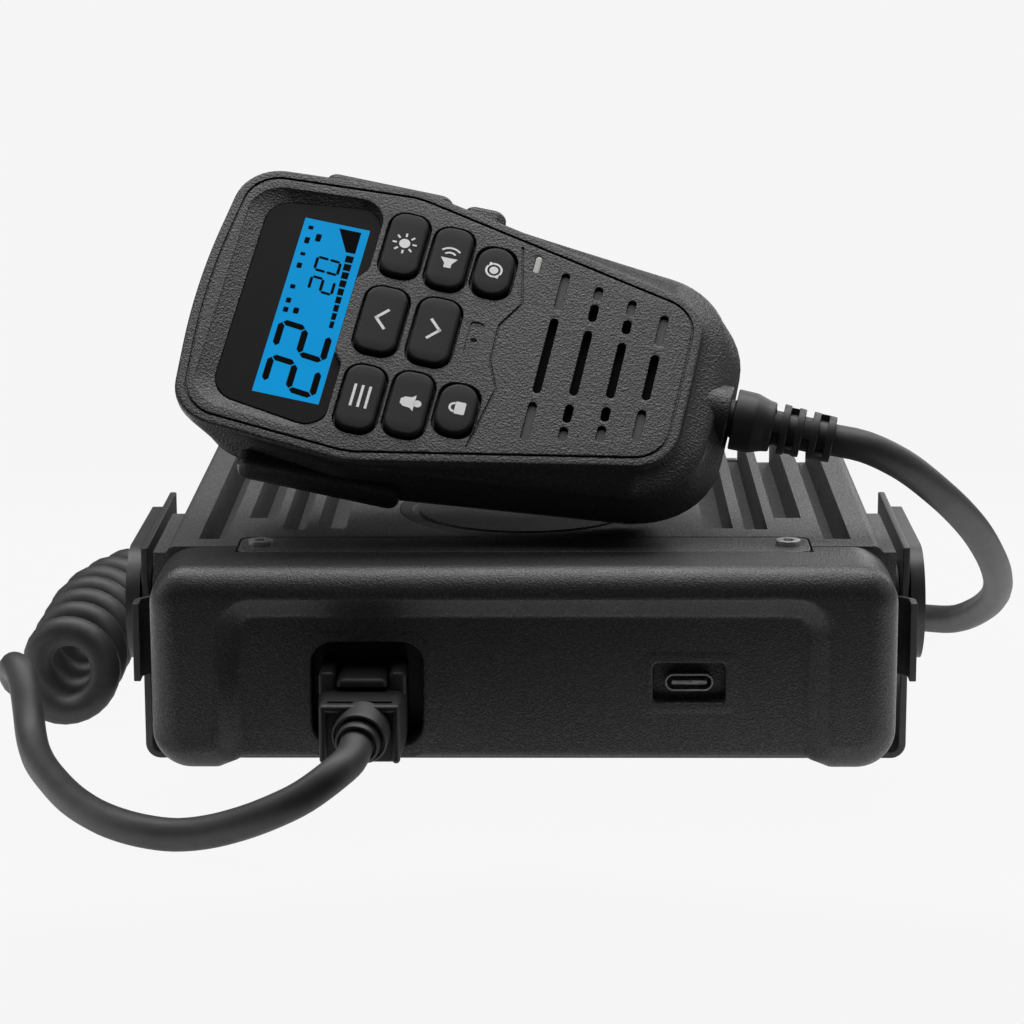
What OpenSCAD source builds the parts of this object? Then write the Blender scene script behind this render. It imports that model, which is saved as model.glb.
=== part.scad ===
// Vehicle two-way radio: a finned base unit clamped in a U bracket, with a control
// handset lying on it, the handset's curly cord and the booted plug in the front jack.
// Millimetres, Z up, front towards -Y. The origin is the middle of the bracket's underside.

/* [Base unit] */
// Width over the front bezel
body_w = 139.5; // [134:0.5:146]
// Height of the base unit
body_h = 39; // [37:0.5:42]
// Depth of the moulded front bezel
bezel_d = 20; // [19:0.5:23]
// Depth of the finned chassis behind the bezel
chassis_d = 122; // [116:1:130]
// Step from the bezel's side in to the chassis' side
side_step = 1.35; // [0.8:0.05:2]
// From the bracket's middle forward to the bezel's front
front_reach = 66; // [62:0.5:70]
// Clear height under the bezel
ground_gap = 9; // [7:0.5:12]
// Wall of the bezel
bezel_wall = 2.2; // [1.8:0.1:3]
// Radius of the bezel's corners and front edges
bezel_round = 7; // [5:0.5:9]
// Depth of the panel sunk in the bezel's front
panel_sink = 3; // [2:0.25:4]
// Width of the sunk panel at its floor
panel_w = 105.6; // [100:0.5:110]
// Width of the bevel round the sunk panel
panel_bevel = 4.6; // [3:0.1:6]

/* [Chassis] */
// Depth of the cooling slots
fin_h = 9; // [7:0.5:10]
// Thickness of the roof under the slots
roof_t = 3; // [2:0.25:4]
// Wall of the chassis
chassis_wall = 3; // [2.5:0.25:4]
// Radius of the round plate on the chassis' top
plate_r = 25; // [22:0.5:28]
// Thickness of the bottom cover
cover_t = 1.5; // [1:0.1:2]
// Length of the trim strip on top of the bezel
strip_l = 109; // [100:0.5:114]
// Width of the trim strip
strip_w = 12.5; // [11.5:0.25:14]
// Thickness of the trim strip
strip_t = 1.2; // [0.8:0.1:1.6]

/* [Sockets] */
// Middle of the handset jack, from the middle of the front
jack_x = -29.9; // [-34.7:0.2:-26.7]
// Height of the jack pocket's middle over the bezel's underside
jack_rise = 14.7; // [14:0.1:16]
// Width of the jack pocket
jack_w = 20.7; // [19.5:0.1:22]
// Height of the jack pocket
jack_h = 19.8; // [19.4:0.1:21]
// Depth of the jack pocket
jack_depth = 8; // [7:0.25:10]
// Middle of the charging socket, from the middle of the front
usb_x = 30.9; // [26:0.2:36]
// Height of the charging socket over the bezel's underside
usb_rise = 16.8; // [14:0.2:20]
// Radius of the antenna socket's outside thread
antenna_r = 7.94; // [7:0.01:9]
// Radius of the antenna socket's centre contact bore
contact_r = 2; // [1.5:0.05:2.2]
// Radius of the speaker jack's bore
speaker_bore_r = 1.8; // [1.6:0.05:2]

/* [Bracket] */
// Depth of the bracket
bracket_d = 52; // [48:0.5:58]
// Height of the bracket's ears
ear_h = 43; // [42:0.25:46]
// Thickness of the bracket's sheet
sheet_t = 1.4; // [1.2:0.1:2]
// Thickness of the friction washers
washer_t = 3.2; // [2.8:0.1:4]
// Height of the side rails on the chassis
rail_t = 2.3; // [2:0.1:3]
// Radius of the pivot bolts' shank
pivot_r = 3; // [2.5:0.1:3.5]
// From the bracket's middle forward to the pivot
pivot_reach = 16; // [15:0.5:18]
// Height of the pivot
pivot_h = 30; // [28.5:0.25:31]
// Radius of the clamp lever's round end
lever_r = 11.5; // [10.5:0.25:12.5]
// Length of the clamp lever, between its round ends' middles
lever_l = 36; // [32:0.5:38]
// Thickness of the clamp lever
lever_t = 2.8; // [2.6:0.1:3.4]
// Radius of the bracket's screw holes
mount_hole_r = 2.6; // [2:0.1:3]
// Half spacing of the bracket's screw holes, across
mount_x = 50; // [44:1:56]
// Half spacing of the bracket's screw holes, front to back
mount_y = 16; // [12:0.5:18]

/* [Handset] */
// Depth from the face to the parting line
front_h = 10; // [9.5:0.25:11]
// Depth from the parting line to the back
rear_h = 17; // [16:0.25:18]
// Wall of the handset's shells
shell_wall = 2.2; // [1.8:0.1:2.6]
// Width of the display
display_w = 41.4; // [38:0.2:43]
// Height of the display
display_h = 13; // [11:0.2:14]
// How far the keys stand out of the face
key_rise = 0.9; // [0.6:0.05:1.2]
// Travel of the keys
key_travel = 0.8; // [0.5:0.05:0.9]
// Gap round each key
key_gap = 0.3; // [0.2:0.05:0.4]
// Travel of the talk bar
talk_travel = 1.2; // [1:0.1:1.4]
// Width of the speaker slots
slot_w = 1.6; // [1.2:0.1:2]
// Radius of the handset's speaker
speaker_r = 15.5; // [14:0.25:16]
// Lean of the face from lying flat
handset_lean = 46; // [44:0.5:48]
// Rise of the display end
handset_lift = 11; // [10:0.5:12]
// Turn of the handset, seen from above
handset_turn = -6; // [-8:0.5:-4]

/* [Cord] */
// Diameter of the cord
cord_d = 6.2; // [5.6:0.1:6.4]
// Radius of a curl, to the middle of the cord
curl_r = 7.5; // [7.2:0.1:7.8]
// Step from curl to curl where they are closed up
curl_step = 7.9; // [7.8:0.1:8.2]
// Step from curl to curl where they are drawn out
loose_step = 14; // [12:0.5:15]
// Number of whole curls
curls = 23; // [21:1:23]

/* [Hidden] */
$fn = 48;

// Colours of the finishes
moulded = "#1d1d1e";
cast = "#222223";
sheet_black = "#19191a";
rubber = "#161617";
steel = "#9a9a9c";
board_green = "#1f4a30";
brass = "#b49a58";
lamp_white = "#c8c8c4";

// Clearances
slip = 0.15;
swing = 0.3;
run_fit = 0.06;
over = 1;

// Main places
front_y = -front_reach;
seam_y = front_y + bezel_d;
rear_y = seam_y + chassis_d;
base_z = ground_gap;
top_z = base_z + body_h;
mid_z = base_z + body_h / 2;
chassis_z = base_z + 1;
half_w = body_w / 2;
side_x = half_w - side_step;
cavity_z = top_z - fin_h - roof_t;
cavity_y = rear_y - chassis_wall;

// Box of a given size from its lowest corner to its highest
module box(low, high) {
    translate(low) cube(high - low);
}

// Rectangle with round corners, about the origin
module round_rect(w, h, r) {
    square([w - 2 * r, h], center = true);
    square([w, h - 2 * r], center = true);
    for (x = [-1, 1], y = [-1, 1])
        translate([x * (w / 2 - r), y * (h / 2 - r)]) circle(r);
}

// Flat shape in X and Z, drawn out from y0 to y1
module along_y(y0, y1) {
    translate([0, y1, 0]) rotate([90, 0, 0]) linear_extrude(y1 - y0) children();
}

// Flat shape in Y and Z, drawn out from x0 to x1
module along_x(x0, x1) {
    translate([x0, 0, 0]) rotate([90, 0, 90]) linear_extrude(x1 - x0) children();
}

// Flat shape in X and Y, drawn out from z0 to z1
module along_z(z0, z1) {
    translate([0, 0, z0]) linear_extrude(z1 - z0) children();
}

// Both a piece and its mirror image across the middle
module both_sides() {
    children();
    mirror([1, 0, 0]) children();
}

// Closed solid through rings of equal count, each turning left as seen from the next ring
module loft(rings) {
    n = len(rings[0]);
    m = len(rings);
    polyhedron(
        points = [for (r = rings) each r],
        faces = concat(
            [[for (i = [0:n - 1]) i]],
            [for (k = [0:m - 2], i = [0:n - 1], h = [0, 1]) h == 0
                ? [k * n + i, (k + 1) * n + i, (k + 1) * n + (i + 1) % n]
                : [k * n + i, (k + 1) * n + (i + 1) % n, k * n + (i + 1) % n]],
            [[for (i = [n - 1:-1:0]) (m - 1) * n + i]]));
}

// Angle at which a common tangent touches circle a and circle b, each [x, y, radius]
function tangent(a, b) =
    let (d = [b.x - a.x, b.y - a.y], turn = atan2(d.y, d.x) + acos((a[2] - b[2]) / norm(d)))
    turn > 180 ? turn - 360 : turn;

// Outline round a chain of circles from the top right down, mirrored to the left, grown by g
arc_steps = 5;
function chain_side(c, g) =
    let (last = len(c) - 1,
         turn = [90, for (i = [0:last - 1]) tangent(c[i], c[i + 1]), -90])
    [for (i = [0:last], k = [0:arc_steps])
        let (a = turn[i] + (turn[i + 1] - turn[i]) * k / arc_steps)
        [c[i].x + (c[i][2] + g) * cos(a), c[i].y + (c[i][2] + g) * sin(a)]];
function chain(c, g = 0) =
    let (side = chain_side(c, g), n = len(side))
    concat([for (i = [n - 1:-1:0]) side[i]], [for (p = side) [-p.x, p.y]]);
function lifted(points, z) = [for (p = points) [p.x, p.y, z]];

// Front bezel: a rounded shell with a bevelled, sunk panel that runs out at the bottom
panel_y = front_y + panel_sink;
panel_top = top_z - 9.7;
lip_rise = 2;
jack_z = base_z + jack_rise;
jack_round = 4;
usb_z = base_z + usb_rise;
usb_recess = [13.5, 7.5];
usb_shell = [8.94, 3.26];
usb_sink = 2.6;
usb_back = panel_y + usb_sink + 4;
jack_back = panel_y + jack_depth;
strip_front = seam_y - 4.5;
strip_y = strip_front + strip_w / 2;
strip_screw_x = strip_l / 2 - 4.2;

module bezel_block(inset) {
    r = bezel_round - inset / 2;
    span = bezel_d + 4 * bezel_round;
    intersection() {
        along_y(front_y + inset, seam_y) translate([0, mid_z])
            round_rect(body_w - 2 * inset, body_h - 2 * inset, r);
        along_x(-half_w, half_w) translate([front_y + inset + span / 2, mid_z])
            round_rect(span, body_h - 2 * inset, r);
        along_z(base_z, top_z) translate([0, front_y + inset + span / 2])
            round_rect(body_w - 2 * inset, span, r);
    }
}

// Outline of the sunk panel at a depth behind the bezel's front, from below the bezel up
function panel_ring(depth) =
    let (grow = panel_bevel * (1 - depth / panel_sink),
         w = panel_w / 2 + grow, t = panel_top + grow, r = 5 + grow / 2)
    [for (p = concat([[w, base_z - 3 * over]],
                     [for (a = [0:15:90]) [w - r + r * cos(a), t - r + r * sin(a)]],
                     [for (a = [90:15:180]) [-w + r + r * cos(a), t - r + r * sin(a)]],
                     [[-w, base_z - 3 * over]]))
        [p.x, front_y + depth, p.y]];

module panel_cut() {
    loft([panel_ring(panel_sink), panel_ring(-over)]);
}

pocket_x = jack_x + 0.7;

module strip_shape(g = 0) {
    translate([0, strip_y]) round_rect(strip_l + 2 * g, strip_w + 2 * g, 2.5 + g);
}

module front_bezel() color(moulded) {
    difference() {
        union() {
            difference() {
                bezel_block(0);
                panel_cut();
                along_y(panel_y + bezel_wall, seam_y + over) translate([0, mid_z])
                    round_rect(body_w - 2 * bezel_wall, body_h - 2 * bezel_wall, bezel_round - bezel_wall);
            }
            along_y(panel_y, jack_back) translate([pocket_x, jack_z])
                round_rect(jack_w + 2 * bezel_wall, jack_h + 2 * bezel_wall, jack_round + bezel_wall);
            along_y(panel_y, usb_back) translate([usb_x, usb_z])
                round_rect(usb_recess.x + 2 * bezel_wall, usb_recess.y + 2 * bezel_wall, 3);
        }
        along_y(front_y - over, seam_y + over) polygon([
            [-panel_w / 2 - panel_bevel, base_z - 4 * over], [-panel_w / 2 - panel_bevel, base_z],
            [-panel_w / 2, base_z + lip_rise], [panel_w / 2, base_z + lip_rise],
            [panel_w / 2 + panel_bevel, base_z], [panel_w / 2 + panel_bevel, base_z - 4 * over]]);
        along_y(panel_y - over, jack_back + over) translate([pocket_x, jack_z])
            round_rect(jack_w, jack_h, jack_round);
        along_y(panel_y - over, panel_y + usb_sink) translate([usb_x, usb_z])
            round_rect(usb_recess.x, usb_recess.y, 1.2);
        along_y(panel_y, usb_back + over) translate([usb_x, usb_z])
            round_rect(usb_shell.x + 2 * slip, usb_shell.y + 2 * slip, usb_shell.y / 2);
        along_z(top_z - strip_t, top_z + over) strip_shape(slip);
    }
}

// Trim strip over the seam, with its two screws
screw_r = 1.5;
screw_head_r = 2.3;
screw_head_h = 0.9;
screw_socket = 0.7;
screw_l = 5;
module strip_screw_places() {
    for (x = [-1, 1]) translate([x * strip_screw_x, strip_y, top_z]) children();
}

module trim_strip() color(moulded) {
    difference() {
        along_z(top_z - strip_t, top_z) strip_shape();
        strip_screw_places() cylinder(h = 4 * strip_t, r = screw_r + slip, center = true);
    }
}

module trim_screws() color(steel) {
    strip_screw_places() difference() {
        union() {
            translate([0, 0, -screw_l]) cylinder(h = screw_l, r = screw_r);
            cylinder(h = screw_head_h, r = screw_head_r);
        }
        translate([0, 0, screw_head_h - screw_socket]) cylinder(h = over, r = 1.2, $fn = 6);
    }
}

// Finned chassis: slots run out at the back, the middle carries the round plate
slots = [
    [57.4, 62.6, seam_y + 6.3], [49, 54.4, seam_y + 24.6], [42.7, 47.2, seam_y + 14.5],
    [34.8, 40.5, seam_y + 15.4], [24.4, 29.8, seam_y + 66], [14.2, 19.6, seam_y + 69],
    [3.2, 9, seam_y + 71]
];
plate_y = seam_y + 9 + plate_r;
plate_t = 1.6;
boss_r = 3.5;
boss_hole_r = 1.3;
cover_screw_r = 1.2;
cover_boss = [side_x - chassis_wall - boss_r, 7];
board_z = chassis_z + cover_t + 8;
board_t = 1.6;
board_boss = [46, 30];
pivot_y = -pivot_reach;
pivot_boss_r = 9;
rail_front = seam_y;
rail_back = pivot_y + 4;
rail_top = top_z - 1.2;
tab_z = [pivot_h - 9.5, pivot_h + 6];
tab_t = 1.3;
tab_foot = [pivot_y - 8.6, pivot_y - 17];
tab_press_room = 1.2;
socket_z = (board_z + board_t + cavity_z) / 2;
socket_inset = 30.4;
antenna_x = side_x - socket_inset;
inlet_x = -antenna_x;
jack_body = [10, 11, 12];
inlet = [20, 12];
bush_r = 4;

module board_posts(z0, z1, r) {
    for (x = [-1, 1], y = [-1, 1])
        translate([x * board_boss.x, (seam_y + rear_y) / 2 + y * board_boss.y, z0]) cylinder(h = z1 - z0, r = r);
}

module cover_posts(z0, z1, r) {
    for (x = [-1, 1], y = [seam_y + cover_boss.y, rear_y - chassis_wall - boss_r])
        translate([x * cover_boss.x, y, z0]) cylinder(h = z1 - z0, r = r);
}

module pivot_pin(x0, x1, r) {
    translate([x0, pivot_y, pivot_h]) rotate([0, 90, 0]) cylinder(h = x1 - x0, r = r);
}

module rear_bore(x, r) {
    translate([x, rear_y + over, socket_z]) rotate([90, 0, 0]) cylinder(h = chassis_wall + 2 * over, r = r);
}

module side_rail() {
    difference() {
        union() {
            box([side_x - over, rail_front, pivot_h - 14], [side_x + rail_t, rail_back, rail_top]);
            pivot_pin(side_x - chassis_wall - 4, side_x + rail_t, pivot_boss_r);
        }
        box([side_x + rail_t - tab_press_room, rail_front - over, tab_z[0] - over],
            [side_x + rail_t + over, rivet_y, tab_z[1] + over]);
        pivot_pin(side_x - chassis_wall - 8, side_x + rail_t + over, pivot_r + run_fit);
    }
}

module heatsink_chassis() color(cast) {
    difference() {
        union() {
            difference() {
                along_y(seam_y, rear_y) translate([0, (chassis_z + top_z) / 2])
                    round_rect(2 * side_x, top_z - chassis_z, 2);
                box([-side_x + chassis_wall, seam_y - over, chassis_z - over],
                    [side_x - chassis_wall, cavity_y, cavity_z]);
                both_sides() pivot_pin(side_x - chassis_wall - over, side_x + over, pivot_boss_r - over);
            }
            cover_posts(chassis_z + cover_t, cavity_z + over, boss_r);
            board_posts(board_z + board_t, cavity_z + over, boss_r);
            both_sides() side_rail();
        }
        both_sides() for (s = slots)
            box([s[0], s[2], top_z - fin_h], [s[1], rear_y + over, top_z + over]);
        translate([0, plate_y, top_z - plate_t]) cylinder(h = plate_t + over, r = plate_r + slip, $fn = 96);
        along_z(top_z - strip_t, top_z + over) strip_shape(slip);
        strip_screw_places() translate([0, 0, -screw_l]) cylinder(h = screw_l, r = screw_r + slip);
        cover_posts(chassis_z, chassis_z + cover_t + 9, boss_hole_r);
        rear_bore(antenna_x, antenna_r - 1 + slip);
        rear_bore(0, bush_r + slip);
        along_y(cavity_y - over, rear_y + over) translate([inlet_x, socket_z])
            round_rect(inlet.x + 2 * slip, inlet.y + 2 * slip, 1.5);
    }
}

module round_plate() color(moulded) {
    translate([0, plate_y, top_z - plate_t]) difference() {
        cylinder(h = plate_t, r = plate_r, $fn = 96);
        translate([0, 0, plate_t - 0.5]) difference() {
            cylinder(h = over, r = plate_r - 2.4, $fn = 96);
            translate([0, 0, -over]) cylinder(h = 3 * over, r = plate_r - 4, $fn = 96);
        }
    }
}

module bottom_cover() color(sheet_black) {
    difference() {
        box([-side_x + chassis_wall + slip, seam_y, chassis_z],
            [side_x - chassis_wall - slip, cavity_y - slip, chassis_z + cover_t]);
        cover_posts(chassis_z - over, chassis_z + cover_t + over, cover_screw_r + slip);
        both_sides() pivot_pin(side_x - chassis_wall - 6, side_x, pivot_boss_r + slip);
    }
}

cover_head_h = 1;
module cover_screws() color(steel) {
    cover_posts(chassis_z, chassis_z + cover_t + 7, cover_screw_r);
    cover_posts(chassis_z - cover_head_h, chassis_z, 2.3);
}

// Boards and parts inside the base unit
board_edge = 8;
can = [64, 44, 9];
module main_board() color(board_green) {
    box([-side_x + board_edge + chassis_wall, seam_y + 14, board_z],
        [side_x - board_edge - chassis_wall, cavity_y - 9, board_z + board_t]);
}

module shield_can() color(steel) {
    translate([8, (seam_y + rear_y) / 2 + 6, board_z + board_t]) difference() {
        translate([-can.x / 2, -can.y / 2, 0]) cube(can);
        translate([-can.x / 2 + 0.4, -can.y / 2 + 0.4, -over]) cube([can.x - 0.8, can.y - 0.8, can.z + over - 0.4]);
    }
}

transistor = [26, 11, 5];
module power_transistors() color("#2a2a2c") {
    for (x = [-44, 24]) translate([x, cavity_y - 11 - transistor.y, cavity_z - transistor.z])
        difference() {
            cube(transistor);
            for (d = [3, transistor.x - 3]) translate([d, transistor.y / 2, -over])
                cylinder(h = transistor.z + 2 * over, r = 1.6);
        }
}

// Handset jack behind its pocket, with a keyed hole for the plug
plug = [11.7, 6.6];
plug_z = jack_z - 3.4;
jack_len = 14;
jack_tongue = 3.6;
module mic_jack() color("#202022") {
    difference() {
        box([pocket_x - jack_w / 2, jack_back, jack_z - jack_h / 2 + 1.6],
            [pocket_x + jack_w / 2, jack_back + jack_len, jack_z + jack_h / 2]);
        box([jack_x - plug.x / 2 - swing, jack_back - over, plug_z - plug.y / 2 - swing],
            [jack_x + plug.x / 2 + swing, jack_back + jack_len - 2, plug_z + plug.y / 2 + swing]);
        box([jack_x - 3.4, jack_back - over, plug_z],
            [jack_x + 3.4, jack_back + jack_len - 2, plug_z + plug.y / 2 + jack_tongue]);
    }
}

usb_wall = 0.3;
module usb_socket() color(steel) {
    difference() {
        along_y(panel_y + 0.4, usb_back) translate([usb_x, usb_z])
            round_rect(usb_shell.x, usb_shell.y, usb_shell.y / 2 - 0.01);
        along_y(panel_y - over, usb_back - 1) translate([usb_x, usb_z]) difference() {
            round_rect(usb_shell.x - 2 * usb_wall, usb_shell.y - 2 * usb_wall, usb_shell.y / 2 - usb_wall - 0.01);
            round_rect(usb_shell.x - 2.3, 0.7, 0.3);
        }
    }
}

module usb_board() color(board_green) {
    along_y(usb_back, usb_back + 1.2) translate([usb_x, usb_z]) round_rect(24, 14, 1);
}

// Sockets on the back: antenna, power and outside speaker
antenna_l = 13;
flange_t = 2.2;
module antenna_socket() color(steel) {
    difference() {
        union() {
            along_y(rear_y, rear_y + flange_t) translate([antenna_x, socket_z]) round_rect(22, 22, 2);
            translate([antenna_x, rear_y + flange_t + antenna_l, socket_z]) rotate([90, 0, 0])
                cylinder(h = antenna_l, r = antenna_r);
            translate([antenna_x, rear_y, socket_z]) rotate([90, 0, 0])
                cylinder(h = chassis_wall + 2, r = antenna_r - 1);
        }
        translate([antenna_x, rear_y + flange_t + antenna_l + over, socket_z]) rotate([90, 0, 0])
            cylinder(h = antenna_l + flange_t + chassis_wall + 4 * over, r = antenna_r - 2);
    }
}

core_sink = 1.5;
module antenna_core() color("white") {
    translate([antenna_x, rear_y + flange_t + antenna_l - core_sink, socket_z]) rotate([90, 0, 0]) difference() {
        cylinder(h = antenna_l + flange_t, r = antenna_r - 2);
        translate([0, 0, -over]) cylinder(h = antenna_l, r = contact_r);
    }
}

inlet_out = 7;
inlet_wall = 1.6;
module power_inlet() color(rubber) {
    along_y(cavity_y - 3, rear_y + inlet_out) translate([inlet_x, socket_z]) difference() {
        round_rect(inlet.x, inlet.y, 1.5);
        round_rect(inlet.x - 2 * inlet_wall, inlet.y - 2 * inlet_wall, 0.8);
    }
    along_y(rear_y, rear_y + 1.5) translate([inlet_x, socket_z]) difference() {
        round_rect(inlet.x + 4, inlet.y + 4, 3);
        round_rect(inlet.x - over, inlet.y - over, 0.8);
    }
    along_y(cavity_y - 3, cavity_y - 1) translate([inlet_x, socket_z])
        round_rect(inlet.x - over, inlet.y - over, 0.8);
    for (x = [-1, 1]) along_y(cavity_y - 2, rear_y + inlet_out - 3)
        translate([inlet_x + x * inlet.x / 4, socket_z]) square([1.2, 4.4], center = true);
}

module speaker_jack() color("#2a2a2c") {
    translate([0, rear_y + 3, socket_z]) rotate([90, 0, 0]) difference() {
        union() {
            cylinder(h = chassis_wall + 3, r = bush_r);
            cylinder(h = 3, r = bush_r + 1.6, $fn = 6);
            translate([-jack_body.x / 2, -jack_body.y / 2, chassis_wall + 3]) cube(jack_body);
        }
        translate([0, 0, -over]) cylinder(h = 15, r = speaker_bore_r);
    }
}

// U bracket: base plate, two ears and their bends
ear_in = side_x + rail_t + washer_t + swing;
ear_out = ear_in + sheet_t;
bend_r = 1.6;
module mount_bracket() color(sheet_black) {
    difference() {
        along_y(-bracket_d / 2, bracket_d / 2) intersection() {
            translate([0, ear_h]) difference() {
                round_rect(2 * ear_out, 2 * ear_h, bend_r + sheet_t);
                round_rect(2 * ear_in, 2 * (ear_h - sheet_t), bend_r);
            }
            translate([-2 * ear_out, 0]) square([4 * ear_out, ear_h]);
        }
        for (x = [-1, 1], y = [-1, 1]) translate([x * mount_x, y * mount_y, -over])
            cylinder(h = sheet_t + 2 * over, r = mount_hole_r);
        both_sides() pivot_pin(ear_in - over, ear_out + over, pivot_r + run_fit);
    }
}

// Clamp levers on the outside of the ears, round end at the pivot, tapered arm to the back
lever_tip_r = 6;
flank_in = 0.02;
lever_rise = lever_r - lever_tip_r - 0.5;
head_r = 5;
head_t = 1.4;
lever_in = ear_out + swing;
lever_out = lever_in + lever_t;

// Flat outline through the outer tangents of two circles, as their straight flanks
function flank(a, b) =
    let (t = tangent(a, b), m = atan2(b.y - a.y, b.x - a.x), u = 2 * m - t)
    [[a.x + a[2] * cos(u), a.y + a[2] * sin(u)], [b.x + b[2] * cos(u), b.y + b[2] * sin(u)],
     [b.x + b[2] * cos(t), b.y + b[2] * sin(t)], [a.x + a[2] * cos(t), a.y + a[2] * sin(t)]];

module clamp_lever() {
    pivot = [pivot_y, pivot_h, lever_r];
    tip = [pivot_y + lever_l, pivot_h + lever_rise, lever_tip_r];
    difference() {
        along_x(lever_in, lever_out) union() {
            translate([pivot.x, pivot.y]) circle(pivot[2]);
            translate([tip.x, tip.y]) circle(tip[2]);
            polygon(flank(pivot - [0, 0, flank_in], tip - [0, 0, flank_in]));
        }
        pivot_pin(lever_in - over, lever_out + over, pivot_r + run_fit);
        pivot_pin(lever_out - head_t - swing, lever_out + over, head_r + swing);
    }
}

module pivot_bolt() {
    difference() {
        union() {
            pivot_pin(side_x - chassis_wall - 3, lever_out - head_t, pivot_r);
            pivot_pin(lever_out - head_t, lever_out, head_r);
        }
        translate([lever_out - 0.8, pivot_y, pivot_h]) rotate([0, 90, 0]) cylinder(h = 2 * over, r = 2, $fn = 6);
    }
}

module right_clamp_lever() color(sheet_black) clamp_lever();
module left_clamp_lever() color(sheet_black) mirror([1, 0, 0]) clamp_lever();
module right_pivot_bolt() color(steel) pivot_bolt();
module left_pivot_bolt() color(steel) mirror([1, 0, 0]) pivot_bolt();

module friction_washers() color(rubber) {
    both_sides() difference() {
        pivot_pin(side_x + rail_t, side_x + rail_t + washer_t, pivot_boss_r - over);
        pivot_pin(side_x, side_x + rail_t + washer_t + over, pivot_r + run_fit);
    }
}

// Release tabs: sheet strips riveted to the side rails, stepping outwards to the finger end
tab_step = 3.4;
tab_bend = [tab_foot[1] - 2, tab_foot[1] - 6.5];
tab_end = tab_foot[1] - 10;
rivet_r = 1.2;
rivet_y = tab_foot[0] - 3;
bend_steps = 8;
function tab_edge(x) = concat(
    [[x, tab_foot[0]]],
    [for (i = [0:bend_steps]) let (f = i / bend_steps)
        [x + tab_step * (1 - cos(180 * f)) / 2, tab_bend[0] + (tab_bend[1] - tab_bend[0]) * f]],
    [[x + tab_step, tab_end]]);

module rivet_places(r, x0, x1) {
    for (z = [tab_z[0] + 3.5, tab_z[1] - 3.5])
        translate([x0, rivet_y, z]) rotate([0, 90, 0]) cylinder(h = x1 - x0, r = r);
}

module release_tab() {
    inner = tab_edge(side_x + rail_t);
    outer = tab_edge(side_x + rail_t + tab_t);
    difference() {
        along_z(tab_z[0], tab_z[1])
            polygon(concat(inner, [for (i = [len(outer) - 1:-1:0]) outer[i]]));
        rivet_places(rivet_r + slip, side_x, side_x + rail_t + 2 * tab_t);
    }
}

module right_release_tab() color(sheet_black) release_tab();
module left_release_tab() color(sheet_black) mirror([1, 0, 0]) release_tab();

rivet_head_t = 0.7;
module rivets() {
    rivet_places(rivet_r, side_x + rail_t, side_x + rail_t + tab_t);
    rivet_places(2, side_x + rail_t + tab_t, side_x + rail_t + tab_t + rivet_head_t);
}

module right_tab_rivets() color(steel) rivets();
module left_tab_rivets() color(steel) mirror([1, 0, 0]) rivets();

// Handset pose: lying face up with its display end to the left, then leaned, lifted and turned
function rot_x(a) = [[1, 0, 0], [0, cos(a), -sin(a)], [0, sin(a), cos(a)]];
function rot_y(a) = [[cos(a), 0, sin(a)], [0, 1, 0], [-sin(a), 0, cos(a)]];
function rot_z(a) = [[cos(a), -sin(a), 0], [sin(a), cos(a), 0], [0, 0, 1]];
pose = rot_z(handset_turn) * rot_y(handset_lift) * rot_x(handset_lean) * rot_z(90);

// Outlines of the handset, as circles of the right half from the display end down: the parting line,
// the brow under the face and the face, each with arched ends
shell_chain = [[0, -124.4, 142], [17.6, 4.2, 13], [15, -13, 18.2], [9.8, -66.2, 16.8], [0, -23.2, 60]];
brow_chain = [[0, -120.1, 142], [20.8, 13.2, 7.9], [14.8, -13, 16.6], [10.6, -64.5, 15.2], [0, -33, 47.2]];
face_chain = [[0, -121.6, 142], [21, 11.8, 7.2], [13.9, -13, 16], [11.2, -65.2, 7.2], [0, -28.5, 44]];
lens_chain = [[18.6, 8.8, 5.5], [21.6, -4, 4.7]];
back_z = -front_h - rear_h;
back_inset = 9.48;
rear_rings = [[-front_h, 0], [-front_h - 5, -3], [-front_h - 10, -6], [back_z + 2.5, -8.4], [back_z, -back_inset]];
lowest = min([for (s = rear_rings, p = lifted(chain(shell_chain, s[1]), s[0])) (pose * p).z]);
rest_gap = 0.3;
handset_pos = [-40.8, front_y + 36, top_z + rest_gap - lowest];
function in_place(p) = handset_pos + pose * p;

module at_handset() {
    translate(handset_pos) rotate([0, 0, handset_turn]) rotate([0, handset_lift, 0])
        rotate([handset_lean, 0, 0]) rotate([0, 0, 90]) children();
}

// Handset keys: name, place across, place along, size across, size along
key_low = shell_wall + key_travel + 1.1;
keys = [
    [18.1, -14, 14.8, 7.6], [17.2, -23.2, 14.4, 7.6], [16.2, -32.2, 11.4, 7.4],
    [0, -13.7, 15.4, 8.2], [0, -24.1, 15.2, 8.2],
    [-18.1, -14, 14.8, 7.6], [-17.2, -23.2, 14.4, 7.6], [-16.2, -32.2, 11.4, 7.4]
];
key_round = 3;
flange_w = 0.7;
flange_h = 1;
function key_corner(k) = min(key_round, k[3] / 2 - 0.2);

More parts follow.
